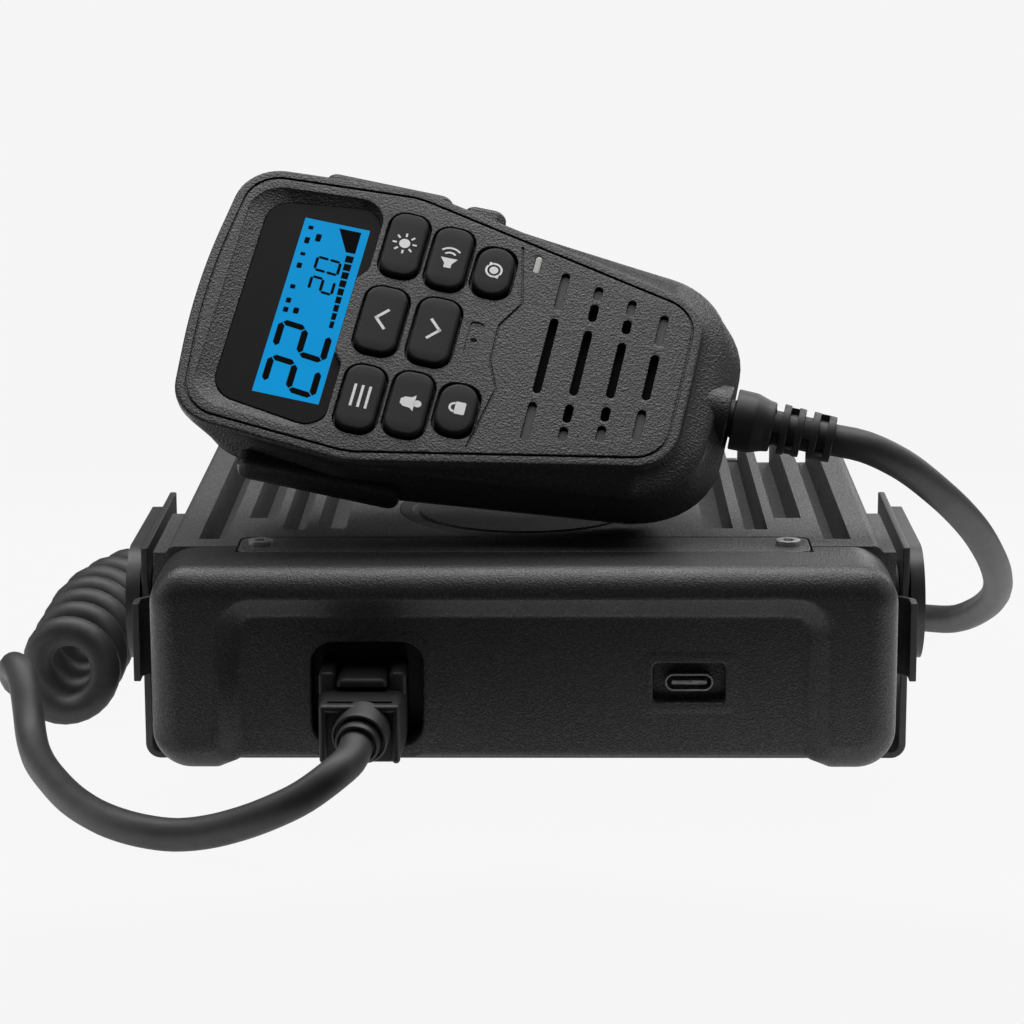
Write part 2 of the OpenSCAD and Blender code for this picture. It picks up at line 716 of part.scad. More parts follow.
// Speaker slots: place along, half length of the middle slot, then open and blind stretches
speaker_slots = [
    [-46, 8.7, [], [10.9, 19.6]], [-52.9, 7.5, [9.8, 14.3], [14.3, 18]],
    [-59.8, 6.4, [8.6, 12.3], [12.3, 16.5]], [-66.5, 5.2, [], [7.6, 14.6]]
];
blind_depth = 0.6;
speaker_y = -56;
capsule = [0, -32.4];
capsule_r = 2.8;
lamp = [20.1, -40.1, 4.2, 1.3];
lens_t = 1.2;
lens_sink = 0.2;
relief_z = -8.2;
relief_neck_r = 3.6;
relief_end = -103;
relief_start = shell_chain[4].y - shell_chain[4][2];
side_key_z = -9.2;
side_key_h = 6.2;
talk_z = -9.6;
talk_h = 6.4;
talk_y = [-25, 6.5];
rocker_y = [-20, 6];
power_y = [-31, -22.4];
side_room = 24;
side_reach = 50;
side_flange_t = 1.2;
side_flange_w = 0.7;
talk_out = 33.8;
talk_in = 25.6;
rocker_in = 25.2;
rocker_out = 37;
power_in = 26.6;
power_out = 36;
rocker_turn = 3;
rocker_pivot = [rocker_in - 0.9, (rocker_y[0] + rocker_y[1]) / 2];
rocker_pin_r = 1.2;
rocker_pin_l = 7.6;
relief_hole = [70, 30];
brow_z = -3.4;
skin_face = [[-1.3, 1.9], [0, 1.1]];
skin_inside = -7;
post_places = [[15, 1], [-15, 1], [12, -60], [-12, -60]];
post_r = 3;
post_hole_r = 1.1;
shell_screw_r = 1;

module slot_run(y, x0, x1, z0, z1) {
    along_z(z0, z1) translate([(x0 + x1) / 2, y]) round_rect(x1 - x0, slot_w, slot_w / 2 - 0.01);
}

// Opening in a handset's side wall, for a piece between two places along it
module side_opening(y, z, h, x0, x1, gap) {
    along_x(x0, x1) translate([(y[0] + y[1]) / 2, z]) round_rect(y[1] - y[0] + 2 * gap, h + 2 * gap, 2.5 + gap);
}

module side_cuts() {
    rocker_lift = (rocker_y[1] - rocker_y[0]) / 2 * sin(rocker_turn);
    side_opening(talk_y, talk_z, talk_h, -side_reach, -side_room, swing);
    side_opening(talk_y, talk_z, talk_h, -talk_in - side_flange_t - swing, -side_room, side_flange_w + swing);
    side_opening(rocker_y, side_key_z, side_key_h, side_room, side_reach, swing + slip);
    side_opening(rocker_y, side_key_z, side_key_h, side_room, rocker_in + side_flange_t + rocker_lift + swing,
                 side_flange_w + swing);
    side_opening(power_y, side_key_z, side_key_h, side_room, side_reach, swing);
    side_opening(power_y, side_key_z, side_key_h, side_room, power_in + side_flange_t + swing,
                 side_flange_w + swing);
    translate([0, -relief_hole[0], relief_z]) rotate([90, 0, 0])
        cylinder(h = relief_hole[1], r = relief_neck_r + slip);
}

// Round boss on both shells' end, where the cord's sleeve leaves
relief_boss_r = 6;
boss_gap = 0.7;
boss_start = relief_start + 6.7;
module relief_boss(z0, z1) intersection() {
    translate([0, boss_start, relief_z]) rotate([90, 0, 0])
        cylinder(h = boss_start - relief_start - boss_gap, r = relief_boss_r);
    along_z(z0, z1) translate([0, relief_start]) square([4 * relief_boss_r, 20], center = true);
}

module handset_front_shell() color(moulded) at_handset() difference() {
    union() {
        difference() {
            loft(concat([lifted(chain(shell_chain), -front_h), lifted(chain(brow_chain), brow_z)],
                        [for (s = skin_face) lifted(chain(face_chain, s[1]), s[0])]));
            loft([lifted(chain(shell_chain, -shell_wall), -front_h - over),
                  lifted(chain(shell_chain, -shell_wall), skin_inside),
                  lifted(chain(face_chain, -0.8), -shell_wall)]);
        }
        relief_boss(-front_h, over);
    }
    along_z(-lens_t - lens_sink, over) polygon(chain(lens_chain, slip));
    along_z(-front_h, over) square([display_w + 3, display_h + 3], center = true);
    for (k = keys) along_z(-front_h, over) translate([k[0], k[1]])
        round_rect(k[2] + 2 * key_gap, k[3] + 2 * key_gap, key_corner(k) + key_gap);
    for (s = speaker_slots) {
        slot_run(s[0], -s[1], s[1], -front_h, over);
        for (e = [-1, 1]) {
            if (len(s[2]) > 0) slot_run(s[0], min(e * s[2][0], e * s[2][1]), max(e * s[2][0], e * s[2][1]), -front_h, over);
            slot_run(s[0], min(e * s[3][0], e * s[3][1]), max(e * s[3][0], e * s[3][1]), -blind_depth, over);
        }
    }
    translate([capsule.x, capsule.y, -front_h]) cylinder(h = front_h + over, r = 0.6);
    along_z(-front_h, over) translate([lamp[0], lamp[1]]) round_rect(lamp[2] + slip, lamp[3] + slip, lamp[3] / 2);
    side_cuts();
}

module handset_rear_shell() color(moulded) at_handset() difference() {
    union() {
        difference() {
            loft([for (i = [len(rear_rings) - 1:-1:0]) lifted(chain(shell_chain, rear_rings[i][1]), rear_rings[i][0])]);
            loft([for (i = [len(rear_rings) - 1:-1:0])
                lifted(chain(shell_chain, max(rear_rings[i][1] - shell_wall, 0.8 - shell_chain[1][2])),
                       rear_rings[i][0] + (i == 0 ? over : shell_wall * i / (len(rear_rings) - 1)))]);
        }
        for (p = post_places) translate([p.x, p.y, back_z + over]) cylinder(h = rear_h - over - handset_board_sink, r = post_r);
        relief_boss(back_z, -front_h);
    }
    side_cuts();
    for (p = post_places) translate([p.x, p.y, back_z - over]) {
        cylinder(h = rear_h + over, r = post_hole_r);
        cylinder(h = screw_sink + over, r = 2.2 + slip);
    }
}

// Display window and the display behind it
module display_lens() color("#0c0c0d") at_handset() difference() {
    along_z(-lens_t - lens_sink, -lens_sink) polygon(chain(lens_chain));
    along_z(-front_h, over) square([display_w, display_h], center = true);
}

lcd_edge = 2;
lcd_t = 3;
module lcd_module() color("#1088c8") at_handset() {
    along_z(-lens_t - lens_sink - slip, -lens_sink - 0.4)
        square([display_w - 2 * slip, display_h - 2 * slip], center = true);
    along_z(-lens_t - lens_sink - slip - lcd_t, -lens_t - lens_sink - slip)
        square([display_w + lcd_edge, display_h + lcd_edge], center = true);
}

membrane_t = 1.4;
membrane_top = -key_low - 0.1 - key_travel;
membrane = [47, 27];
membrane_y = -23;
membrane_round = 3;
module keypad_membrane() color(rubber) at_handset() difference() {
    along_z(membrane_top - membrane_t, membrane_top) translate([0, membrane_y])
        round_rect(membrane.x, membrane.y, membrane_round);
    translate([capsule.x, capsule.y, -front_h - over]) cylinder(h = front_h + over, r = capsule_r + slip);
}

module key(i) {
    k = keys[i];
    color(rubber) at_handset() translate([k[0], k[1], 0]) {
        along_z(-key_low, key_rise) round_rect(k[2], k[3], key_corner(k));
        along_z(-key_low, -key_low + flange_h)
            round_rect(k[2] + 2 * flange_w, k[3] + 2 * flange_w, key_corner(k) + flange_w);
    }
}

// Talk bar on the left side, two keys on the right side
module side_button(y, z, h, x0, x1) {
    side_opening(y, z, h, x0, x1, 0);
    side_opening(y, z, h, x0, x0 + side_flange_t, side_flange_w);
}

module talk_bar() color(moulded) at_handset() mirror([1, 0, 0])
    side_button(talk_y, talk_z, talk_h, talk_in, talk_out);
module volume_rocker() color(moulded) at_handset() {
    side_button(rocker_y, side_key_z, side_key_h, rocker_in, rocker_out);
    translate([rocker_pivot.x, rocker_pivot.y, side_key_z]) cylinder(h = rocker_pin_l, r = rocker_pin_r, center = true);
}
module power_key() color(moulded) at_handset() side_button(power_y, side_key_z, side_key_h, power_in, power_out);

// Board, speaker, microphone and lamp inside the handset
handset_board_sink = 4.4;
handset_board_t = 1.2;
handset_board_inset = 9.4;
module handset_board() color(board_green) at_handset()
    along_z(-front_h - handset_board_sink, -front_h - handset_board_sink + handset_board_t)
        polygon(chain(shell_chain, -handset_board_inset));

speaker_frame_t = 3;
speaker_magnet_t = 4;
speaker_gap = 0.4;
module handset_speaker() color("#2a2a2c") at_handset() translate([0, speaker_y, -shell_wall - speaker_gap]) {
    translate([0, 0, -speaker_frame_t]) cylinder(h = speaker_frame_t, r = speaker_r);
    translate([0, 0, -speaker_frame_t - speaker_magnet_t]) cylinder(h = speaker_magnet_t, r = speaker_r * 0.55);
}

module mic_capsule() color(steel) at_handset()
    translate([capsule.x, capsule.y, -shell_wall - 3.5]) cylinder(h = 3.3, r = capsule_r);

module status_lamp() color(lamp_white) at_handset() translate([lamp[0], lamp[1]]) {
    along_z(-shell_wall - 1, 0.1) round_rect(lamp[2], lamp[3], lamp[3] / 2 - 0.01);
    along_z(-shell_wall - 1.8, -shell_wall - slip) round_rect(lamp[2] + 1, lamp[3] + 1, 0.5);
}

// Hang-up stud and screws on the handset's back
stud_r = 7;
stud_neck_r = 4.2;
stud_y = -20;
module hang_stud() color(steel) at_handset() translate([0, stud_y, 0]) {
    translate([0, 0, back_z - 4]) cylinder(h = 4, r = stud_neck_r);
    translate([0, 0, back_z - 6.5]) cylinder(h = 2.5, r = stud_r);
}

screw_sink = 1.6;
module shell_screws() color(steel) at_handset() for (p = post_places) translate([p.x, p.y, back_z]) {
    translate([0, 0, 0.2]) cylinder(h = screw_sink - 0.2, r = 2.2);
    cylinder(h = rear_h - handset_board_sink - 1, r = shell_screw_r);
}

// Strain relief: collar, tapered sleeve with two pairs of ribs, and an end ring
module strain_relief() color(rubber) at_handset() translate([0, 0, relief_z]) rotate([90, 0, 0]) rotate_extrude()
    polygon([[0, -relief_start - 7], [relief_neck_r, -relief_start - 7], [relief_neck_r, -relief_start + 0.3],
             [5.9, -relief_start + 0.3], [5.7, -relief_start + 3], [5, -relief_start + 6.5],
             [4, -relief_start + 6.5], [4, -relief_start + 8], [4.9, -relief_start + 8], [4.8, -relief_start + 9.8],
             [3.8, -relief_start + 9.8], [3.8, -relief_start + 11.3], [4.7, -relief_start + 11.3],
             [4.6, -relief_start + 13.2], [3.7, -relief_start + 13.2], [3.7, -relief_start + 14.4],
             [5, -relief_start + 14.4], [4.7, -relief_end], [0, -relief_end]]);

// Cord tubes: rings of a polygon square to the path
function unit(v) = v / norm(v);
function ring_at(c, side, along, n) =
    let (lift = cross(along, side))
    [for (i = [0:n - 1]) c + cord_d / 2 * (cos(360 * i / n) * side + sin(360 * i / n) * lift)];
function path_ring(p, i, first, last, n) =
    let (along = i == 0 ? first : i == len(p) - 1 ? last : unit(unit(p[i + 1] - p[i]) + unit(p[i] - p[i - 1])))
    ring_at(p[i], unit(cross(along, [0, 0, 1])), along, n);
module tube(p, first, last, n) {
    loft([for (i = [0:len(p) - 1]) path_ring(p, i, first, last, n)]);
}

// Curly stretch: its middle line runs back along the left side, round the corner and behind the chassis
coil_front = [-94.5, -4];
coil_straight = 45;
coil_bend = 60;
coil_z = curl_r + cord_d / 2;
loose_curls = 6;
front_angle = 215;
end_turn = (270 - front_angle) / 360;
rings_per_curl = 8;
arc_len = coil_bend * PI / 2;

function coil_reach(t) = curl_step * t
    + (loose_step - curl_step) * (t < loose_curls ? t - t * t / (2 * loose_curls) : loose_curls / 2);
function coil_heading(s) =
    let (a = s < coil_straight ? 0 : s < coil_straight + arc_len ? (s - coil_straight) / coil_bend * 180 / PI : 90)
    [sin(a), cos(a), 0];
function coil_middle(s) =
    let (h = coil_heading(s), corner = [coil_front.x + coil_bend, coil_front.y + coil_straight, coil_z])
    s < coil_straight ? [coil_front.x, coil_front.y + s, coil_z]
    : s < coil_straight + arc_len ? corner + coil_bend * [-h.y, h.x, 0]
    : corner + [s - coil_straight - arc_len, coil_bend, 0];
function curl_out(t) =
    let (h = coil_heading(coil_reach(t)), a = front_angle + 360 * t)
    cos(a) * [h.y, -h.x, 0] + [0, 0, sin(a)];
function curl_point(t) = coil_middle(coil_reach(t)) + curl_r * curl_out(t);
function curl_along(t) = unit(curl_point(t + 0.01) - curl_point(t - 0.01));

curl_last = curls + end_turn;
curl_count = round(curl_last * rings_per_curl);
function curl_at(i) = curl_last * i / curl_count;
curl_front_dir = curl_along(0);
curl_back_dir = unit([curl_along(curl_last).x, curl_along(curl_last).y, 0]);
curl_front_end = curl_point(0) - cord_d * curl_front_dir;
curl_back_end = curl_point(curl_last) + cord_d * curl_back_dir;
function square_to(v, along) = unit(v - (v * along) * along);

curl_rings = concat(
    [ring_at(curl_front_end, square_to(curl_out(0), curl_front_dir), curl_front_dir, 6)],
    [for (i = [0:curl_count]) let (t = curl_at(i), d = i == 0 ? curl_front_dir : i == curl_count ? curl_back_dir : curl_along(t))
        ring_at(curl_point(t), square_to(curl_out(t), d), d, 6)],
    [ring_at(curl_back_end, square_to(curl_out(curl_last), curl_back_dir), curl_back_dir, 6)]);
curl_middles = [for (i = [0:curl_count]) curl_point(curl_at(i))];
least_gap = min([for (i = [0:curl_count - rings_per_curl / 2], j = [i + rings_per_curl / 2:1:min(curl_count, i + 3 * rings_per_curl)])
    norm(curl_middles[i] - curl_middles[j])]) - cord_d;
echo(curly_cord_least_gap = least_gap);

module curly_cord() color(rubber) loft(curl_rings);

// Handset's tail: out of the strain relief, over the right side, down to the ground and round to the curls
relief_tip = in_place([0, relief_end, relief_z]);
relief_dir = pose * [0, -1, 0];
lie = cord_d / 2;
handset_route = concat([relief_tip, relief_tip + 6 * relief_dir], [
    [72.4, -33.5, 61.5], [81, -26, 54], [89.5, -12, 44], [95.5, 3, 34], [99, 18, 25.5], [100, 32, 18.5],
    [98.5, 46, 12], [95, 59, 6.8], [89.5, 70.5, lie + 1], [81.5, 78, lie], [71.5, 81.6, lie], [62, 82.6, lie],
    [53, 82.8, lie], [44.5, 83, lie], [37, 84.4, lie], [31.2, 88.6, lie]], [curl_back_end]);

module cord_handset_tail() color(rubber) tube(handset_route, relief_dir, -curl_back_dir, 10);

// Plug's tail: out of the boot, down to the ground and round to the front curl
boot_front = front_y - 12;
boot = [16.2, 11.1];
boot_nose = [14.8, 11.1];
boot_z = jack_z - jack_h / 2 + 0.7;
boot_exit = [jack_x + 0.4, boot_front, boot_z + boot.y * 0.52];
exit_dir = unit([-0.18, -0.945, -0.27]);
collar_l = 4;
collar_tip = boot_exit + collar_l * exit_dir;
plug_route = concat([collar_tip, collar_tip + 4.6 * exit_dir], [
    [-33.6, -90.6, 16.6], [-39.2, -92.6, 12.9], [-45.3, -91.8, 9.6], [-51.1, -90, 6.9], [-57.2, -87.8, lie + 1.6],
    [-63.2, -85.4, lie + 0.3], [-69.5, -82.2, lie], [-76.4, -76.4, lie], [-83.8, -65.7, lie], [-90.5, -51, lie],
    [-95.8, -36, lie + 0.2], [-98, -28.4, lie + 2], [-99.3, -23, lie + 5.2], [-100.5, -18.6, lie + 8.9],
    [-102, -14.6, lie + 11.4], [-103.8, -10.8, lie + 11.6], [-104.6, -7.4, lie + 9.4]], [curl_front_end]);

module cord_plug_tail() color(rubber) tube(plug_route, exit_dir, curl_front_dir, 10);

// Booted plug: block with latch cheeks, ringed collar, finger latch and the clear plug inside
latch_w = 9.4;
latch_top = jack_z + 4.5;
cheek_back = jack_back - 0.6;
cheek_front = cheek_back - 12;
boot_top = boot_z + boot.y;
latch_travel = 0.9;
cheek_h = 3.5;

module along_exit(r, h, sink = 0) {
    translate(boot_exit - sink * exit_dir)
        rotate([0, acos(exit_dir.z), atan2(exit_dir.y, exit_dir.x)]) cylinder(h = h + sink, r = r);
}

module plug_boot() color(rubber) {
    difference() {
        union() {
            hull() {
                along_y(boot_front, boot_front + 1) translate([jack_x, boot_z + boot_nose.y / 2])
                    round_rect(boot_nose.x, boot_nose.y, 1.6);
                along_y(cheek_front, cheek_front + 1) translate([jack_x, boot_z + boot.y / 2])
                    round_rect(boot.x, boot.y, 1.6);
            }
            along_y(cheek_front, cheek_back) translate([jack_x, boot_z + boot.y / 2])
                round_rect(boot.x, boot.y, 1.6);
            for (e = [-1, 1]) along_y(cheek_front, cheek_back)
                translate([jack_x + e * (latch_w / 2 + swing + (boot.x - latch_w - 2 * swing) / 4), boot_top + cheek_h / 2 - 0.75])
                    round_rect((boot.x - latch_w - 2 * swing) / 2, cheek_h + 1.5, 1);
            along_exit(5.2, collar_l / 2, 3);
            along_exit(4.1, collar_l, 3);
        }
        box([jack_x - plug.x / 2 - slip, cheek_back - 9, plug_z - plug.y / 2 - slip],
            [jack_x + plug.x / 2 + slip, cheek_back + over, plug_z + plug.y / 2 + slip]);
    }
}

module plug_latch() color(rubber) {
    along_z(boot_top + latch_travel + 0.05, latch_top) {
        translate([jack_x - latch_w / 2, cheek_front - 1]) square([latch_w, cheek_back - cheek_front + 1 - latch_w / 2]);
        translate([jack_x, cheek_back - latch_w / 2]) circle(r = latch_w / 2);
    }
}

module modular_plug() color("#c9ccd0") {
    difference() {
        box([jack_x - plug.x / 2, cheek_back - 9 + slip, plug_z - plug.y / 2],
            [jack_x + plug.x / 2, jack_back + jack_len - 2.6, plug_z + plug.y / 2]);
        for (i = [-3.5:1:3.5]) box([jack_x + i * 1.02 - 0.2, jack_back + 4, plug_z - plug.y / 2 - over],
                                   [jack_x + i * 1.02 + 0.2, jack_back + jack_len, plug_z - plug.y / 2 + 2]);
    }
}

front_bezel();
trim_strip();
trim_screws();
heatsink_chassis();
round_plate();
bottom_cover();
cover_screws();
main_board();
shield_can();
power_transistors();
mic_jack();
usb_socket();
usb_board();
antenna_socket();
antenna_core();
power_inlet();
speaker_jack();
mount_bracket();
left_clamp_lever();
right_clamp_lever();
left_pivot_bolt();
right_pivot_bolt();
friction_washers();
left_release_tab();
right_release_tab();
left_tab_rivets();
right_tab_rivets();
handset_front_shell();
handset_rear_shell();
display_lens();
lcd_module();
keypad_membrane();
key(0);  // key_weather
key(1);  // key_monitor
key(2);  // key_scan
key(3);  // key_up
key(4);  // key_down
key(5);  // key_menu
key(6);  // key_call
key(7);  // key_lock
talk_bar();
volume_rocker();
power_key();
handset_board();
handset_speaker();
mic_capsule();
status_lamp();
hang_stud();
shell_screws();
strain_relief();
cord_handset_tail();
curly_cord();
cord_plug_tail();
plug_boot();
plug_latch();
modular_plug();
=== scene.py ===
"""Vehicle two-way radio: visual pieces, finishes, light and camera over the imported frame.

Shapes are worked out in millimetres in the row frame: X right, Y away from the camera, Z up.
The handset's own frame has x to its right, y towards its display end and z out of its face.
"""

import math
from types import SimpleNamespace

import bmesh
import bpy
import numpy as np
from bpy.props import FloatProperty, FloatVectorProperty, IntProperty, PointerProperty
from mathutils import Matrix
from mathutils.geometry import delaunay_2d_cdt


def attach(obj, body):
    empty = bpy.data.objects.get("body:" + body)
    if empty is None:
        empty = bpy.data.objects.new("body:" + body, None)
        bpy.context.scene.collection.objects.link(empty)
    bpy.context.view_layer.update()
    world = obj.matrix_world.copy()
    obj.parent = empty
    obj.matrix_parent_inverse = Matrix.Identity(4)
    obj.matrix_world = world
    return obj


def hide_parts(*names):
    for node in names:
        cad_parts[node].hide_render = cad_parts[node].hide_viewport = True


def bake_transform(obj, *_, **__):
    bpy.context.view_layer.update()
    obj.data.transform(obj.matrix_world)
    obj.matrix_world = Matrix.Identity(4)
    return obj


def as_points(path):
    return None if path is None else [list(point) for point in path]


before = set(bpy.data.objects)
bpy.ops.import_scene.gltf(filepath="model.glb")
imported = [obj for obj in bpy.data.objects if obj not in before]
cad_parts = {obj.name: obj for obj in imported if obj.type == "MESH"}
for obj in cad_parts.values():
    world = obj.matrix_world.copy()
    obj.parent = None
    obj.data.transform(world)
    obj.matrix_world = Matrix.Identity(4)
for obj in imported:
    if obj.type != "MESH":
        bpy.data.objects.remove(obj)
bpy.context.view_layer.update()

bl_info = {
    "name": "Vehicle two-way radio",
    "version": (1, 0, 0),
    "blender": (4, 5, 0),
    "location": "View3D > Sidebar > Radio",
    "description": "Builds the radio's visual pieces, its finishes and its photo stage",
    "category": "Object",
}

MM = 0.001


class RadioHandset(bpy.types.PropertyGroup):
    """Pose and face of the handset."""

    lean: FloatProperty(
        name="Lean", description="Lean of the face from flat", subtype="ANGLE", default=math.radians(46.0))
    lift: FloatProperty(
        name="Lift", description="Rise of the display end", subtype="ANGLE", default=math.radians(11.0))
    turn: FloatProperty(
        name="Turn", description="Turn seen from above", subtype="ANGLE", default=math.radians(-6.0))
    place: FloatVectorProperty(
        name="Place", description="Middle of the display on the face", subtype="TRANSLATION",
        default=(-40.8 * MM, -30.0 * MM, 91.5644 * MM))
    front_depth: FloatProperty(
        name="Front depth", description="Face to parting line", unit="LENGTH", default=10.0 * MM)
    rear_depth: FloatProperty(
        name="Rear depth", description="Parting line to back", unit="LENGTH", default=17.0 * MM)
    key_rise: FloatProperty(
        name="Key rise", description="Keys over the face", unit="LENGTH", default=0.9 * MM)
    slot_width: FloatProperty(
        name="Slot width", description="Width of the speaker slots", unit="LENGTH", default=1.6 * MM)
    groove: FloatProperty(
        name="Groove", description="Half width of the face's groove", unit="LENGTH", default=0.3 * MM)


class RadioCord(bpy.types.PropertyGroup):
    """Cord and its curls."""

    diameter: FloatProperty(
        name="Diameter", description="Cord diameter", unit="LENGTH", default=6.2 * MM)
    curl_radius: FloatProperty(
        name="Curl radius", description="From a curl's axis to the cord's middle", unit="LENGTH",
        default=7.5 * MM)
    step: FloatProperty(
        name="Step", description="From curl to curl, closed up", unit="LENGTH", default=7.9 * MM)
    loose_step: FloatProperty(
        name="Loose step", description="From curl to curl, drawn out", unit="LENGTH", default=14.0 * MM)
    loose_curls: FloatProperty(
        name="Loose curls", description="Curls over which the step settles", subtype="UNSIGNED", default=6.0)
    curls: IntProperty(
        name="Curls", description="Whole curls", subtype="UNSIGNED", default=23)
    sides: IntProperty(
        name="Sides", description="Sides of the tube", subtype="UNSIGNED", default=18)


class RadioBezel(bpy.types.PropertyGroup):
    """Front bezel of the base unit."""

    width: FloatProperty(
        name="Width", description="Size across", unit="LENGTH", default=139.5 * MM)
    height: FloatProperty(
        name="Height", description="Size upwards", unit="LENGTH", default=39.0 * MM)
    depth: FloatProperty(
        name="Depth", description="Front to seam", unit="LENGTH", default=20.0 * MM)
    front: FloatProperty(
        name="Front", description="Place of the front along Y", unit="LENGTH", default=-66.0 * MM)
    ground: FloatProperty(
        name="Ground", description="Underside over the ground", unit="LENGTH", default=9.0 * MM)
    corner: FloatProperty(
        name="Corner", description="Corner radius seen from the front", unit="LENGTH", default=7.5 * MM)
    edge: FloatProperty(
        name="Edge", description="Radius of the front's edge", unit="LENGTH", default=5.5 * MM)
    sink: FloatProperty(
        name="Sink", description="Depth of the sunk panel", unit="LENGTH", default=3.0 * MM)
    panel: FloatProperty(
        name="Panel", description="Half width of the panel's floor", unit="LENGTH", default=52.8 * MM)
    bevel: FloatProperty(
        name="Bevel", description="Width of the panel's bevel", unit="LENGTH", default=4.6 * MM)


class RadioFinish(bpy.types.PropertyGroup):
    """Colours and greys of the finishes."""

    display: FloatVectorProperty(
        name="Display", description="Glow of the lit display", subtype="COLOR", default=(0.0, 0.27, 0.62))
    signs: FloatVectorProperty(
        name="Signs", description="Ink of the signs on the keys", subtype="COLOR", default=(0.86, 0.86, 0.86))
    boards: FloatVectorProperty(
        name="Boards", description="Lacquer of the boards", subtype="COLOR", default=(0.02, 0.12, 0.06))
    bezel: FloatProperty(
        name="Bezel", description="Lightest grey of the bezel", subtype="FACTOR", default=0.065)
    cast: FloatProperty(
        name="Chassis", description="Lightest grey of the cast chassis", subtype="FACTOR", default=0.14)
    shell: FloatProperty(
        name="Handset", description="Lightest grey of the handset", subtype="FACTOR", default=0.038)
    sheet: FloatProperty(
        name="Bracket", description="Grey of the bracket's sheet", subtype="FACTOR", default=0.045)
    cord: FloatProperty(
        name="Cord", description="Grey of the cord", subtype="FACTOR", default=0.045)
    key: FloatProperty(
        name="Keys", description="Grey of the keys", subtype="FACTOR", default=0.009)


class RadioStage(bpy.types.PropertyGroup):
    """Camera and light."""

    camera: FloatVectorProperty(
        name="Camera", description="Place of the camera", subtype="TRANSLATION",
        default=(5.24 * MM, -661.79 * MM, 192.09 * MM))
    pitch: FloatProperty(name="Pitch", description="Looking down", subtype="ANGLE", default=0.2195)
    yaw: FloatProperty(name="Yaw", description="Looking right", subtype="ANGLE", default=-0.0122)
    roll: FloatProperty(name="Roll", description="Camera roll", subtype="ANGLE", default=-0.0029)
    lens: FloatProperty(
        name="Lens", description="Focal length on a 36 mm sensor", unit="CAMERA", default=116.93)
    light: FloatProperty(name="Light", description="Strength of all lamps", subtype="FACTOR", default=1.0)


def settings(group):
    """A group's values with lengths in millimetres and angles in degrees, to four decimals."""
    out = SimpleNamespace()
    scale = {"LENGTH": 1 / MM, "ROTATION": math.degrees(1)}
    for key in group.__annotations__:
        value = getattr(group, key)
        unit = group.bl_rna.properties[key].unit
        if unit in scale:
            value = np.round(np.array(value) * scale[unit], 4)
        setattr(out, key, value)
    return out


def turn_about(axis, degrees):
    """Rotation matrix about one axis: the usual cosine and sine block."""
    c, s = math.cos(math.radians(degrees)), math.sin(math.radians(degrees))
    if axis == "x":
        return np.array([[1, 0, 0], [0, c, -s], [0, s, c]])
    if axis == "y":
        return np.array([[c, 0, s], [0, 1, 0], [-s, 0, c]])
    return np.array([[c, -s, 0], [s, c, 0], [0, 0, 1]])


def stand(across, above, back, place):
    """Matrix of an object with three given axes at a place in millimetres."""
    columns = np.column_stack([across, above, back, np.array(place) * MM])
    return Matrix([*columns.tolist(), [0, 0, 0, 1]])


class Value:
    """A shader socket with arithmetic: each operator adds one Math node."""

    def __init__(self, shade, socket):
        self.shade = shade
        self.socket = socket

    def math(self, operation, *others):
        """Math node with this value first."""
        return self.shade.node("ShaderNodeMath", dict(enumerate((self, *others))), operation=operation)

    def __add__(self, other):
        return self.math("ADD", other)

    def __sub__(self, other):
        return self.math("SUBTRACT", other)

    def __rsub__(self, other):
        return self.shade.node("ShaderNodeMath", {0: other, 1: self}, operation="SUBTRACT")

    def __mul__(self, other):
        return self.math("MULTIPLY", other)

    __radd__ = __add__
    __rmul__ = __mul__

    def between(self, low, high, to_low=0.0, to_high=1.0):
        """Straight map from low..high to to_low..to_high, clamped."""
        return self.shade.node("ShaderNodeMapRange", {
            "Value": self, "From Min": low, "From Max": high, "To Min": to_low, "To Max": to_high})


class Shade:
    """Nodes of one material or of the world."""

    def __init__(self, owner):
        self.owner = owner
        owner.use_nodes = True
        self.tree = owner.node_tree
        self.tree.nodes.clear()

    def node(self, kind, inputs=None, out=0, **own):
        """Any node: its own settings first, then plain inputs are set and Value inputs linked."""
        n = self.tree.nodes.new(kind)
        for key, value in own.items():
            setattr(n, key, value)
        for key, value in (inputs or {}).items():
            if isinstance(value, Value):
                self.tree.links.new(value.socket, n.inputs[key])
            else:
                n.inputs[key].default_value = value
        return Value(self, n.outputs[out]) if n.outputs else None

    def place(self):
        """Object coordinates in millimetres."""
        raw = self.node("ShaderNodeTexCoord", out=3)
        return self.node("ShaderNodeVectorMath", {0: raw, 3: 1 / MM}, operation="SCALE")

    def noise(self, scale, detail=2.0, where=None):
        """Cloudy noise, scale clouds to the millimetre."""
        return self.node("ShaderNodeTexNoise", {
            "Vector": where or self.place(), "Scale": scale, "Detail": detail})

    def cells(self, scale, where):
        """Soft-edged cells, scale cells to the millimetre."""
        return self.node("ShaderNodeTexVoronoi", {
            "Vector": where, "Scale": scale, "Smoothness": 0.6}, feature="SMOOTH_F1")

    def mix(self, share, a, b):
        """Colour between a and b."""
        return self.node("ShaderNodeMix", {0: share, 6: a, 7: b}, out=2, data_type="RGBA")

    def bump(self, height, strength, distance):
        """Normal of a rough surface."""
        return self.node("ShaderNodeBump", {"Height": height, "Strength": strength, "Distance": distance})

    def plain(self, **inputs):
        """Surface of one principled shader, its inputs named with _ for a space."""
        named = {key.replace("_", " "): value for key, value in inputs.items()}
        return self.finish(self.node("ShaderNodeBsdfPrincipled", named))

    def finish(self, surface, output="ShaderNodeOutputMaterial"):
        """Closes the nodes with their output."""
        self.node(output, {"Surface": surface})
        return self.owner


def material(name):
    """Nodes of a new material."""
    return Shade(bpy.data.materials.new(name))


def grey(v):
    """A neutral colour."""
    return (v, v, v * 1.02, 1.0)


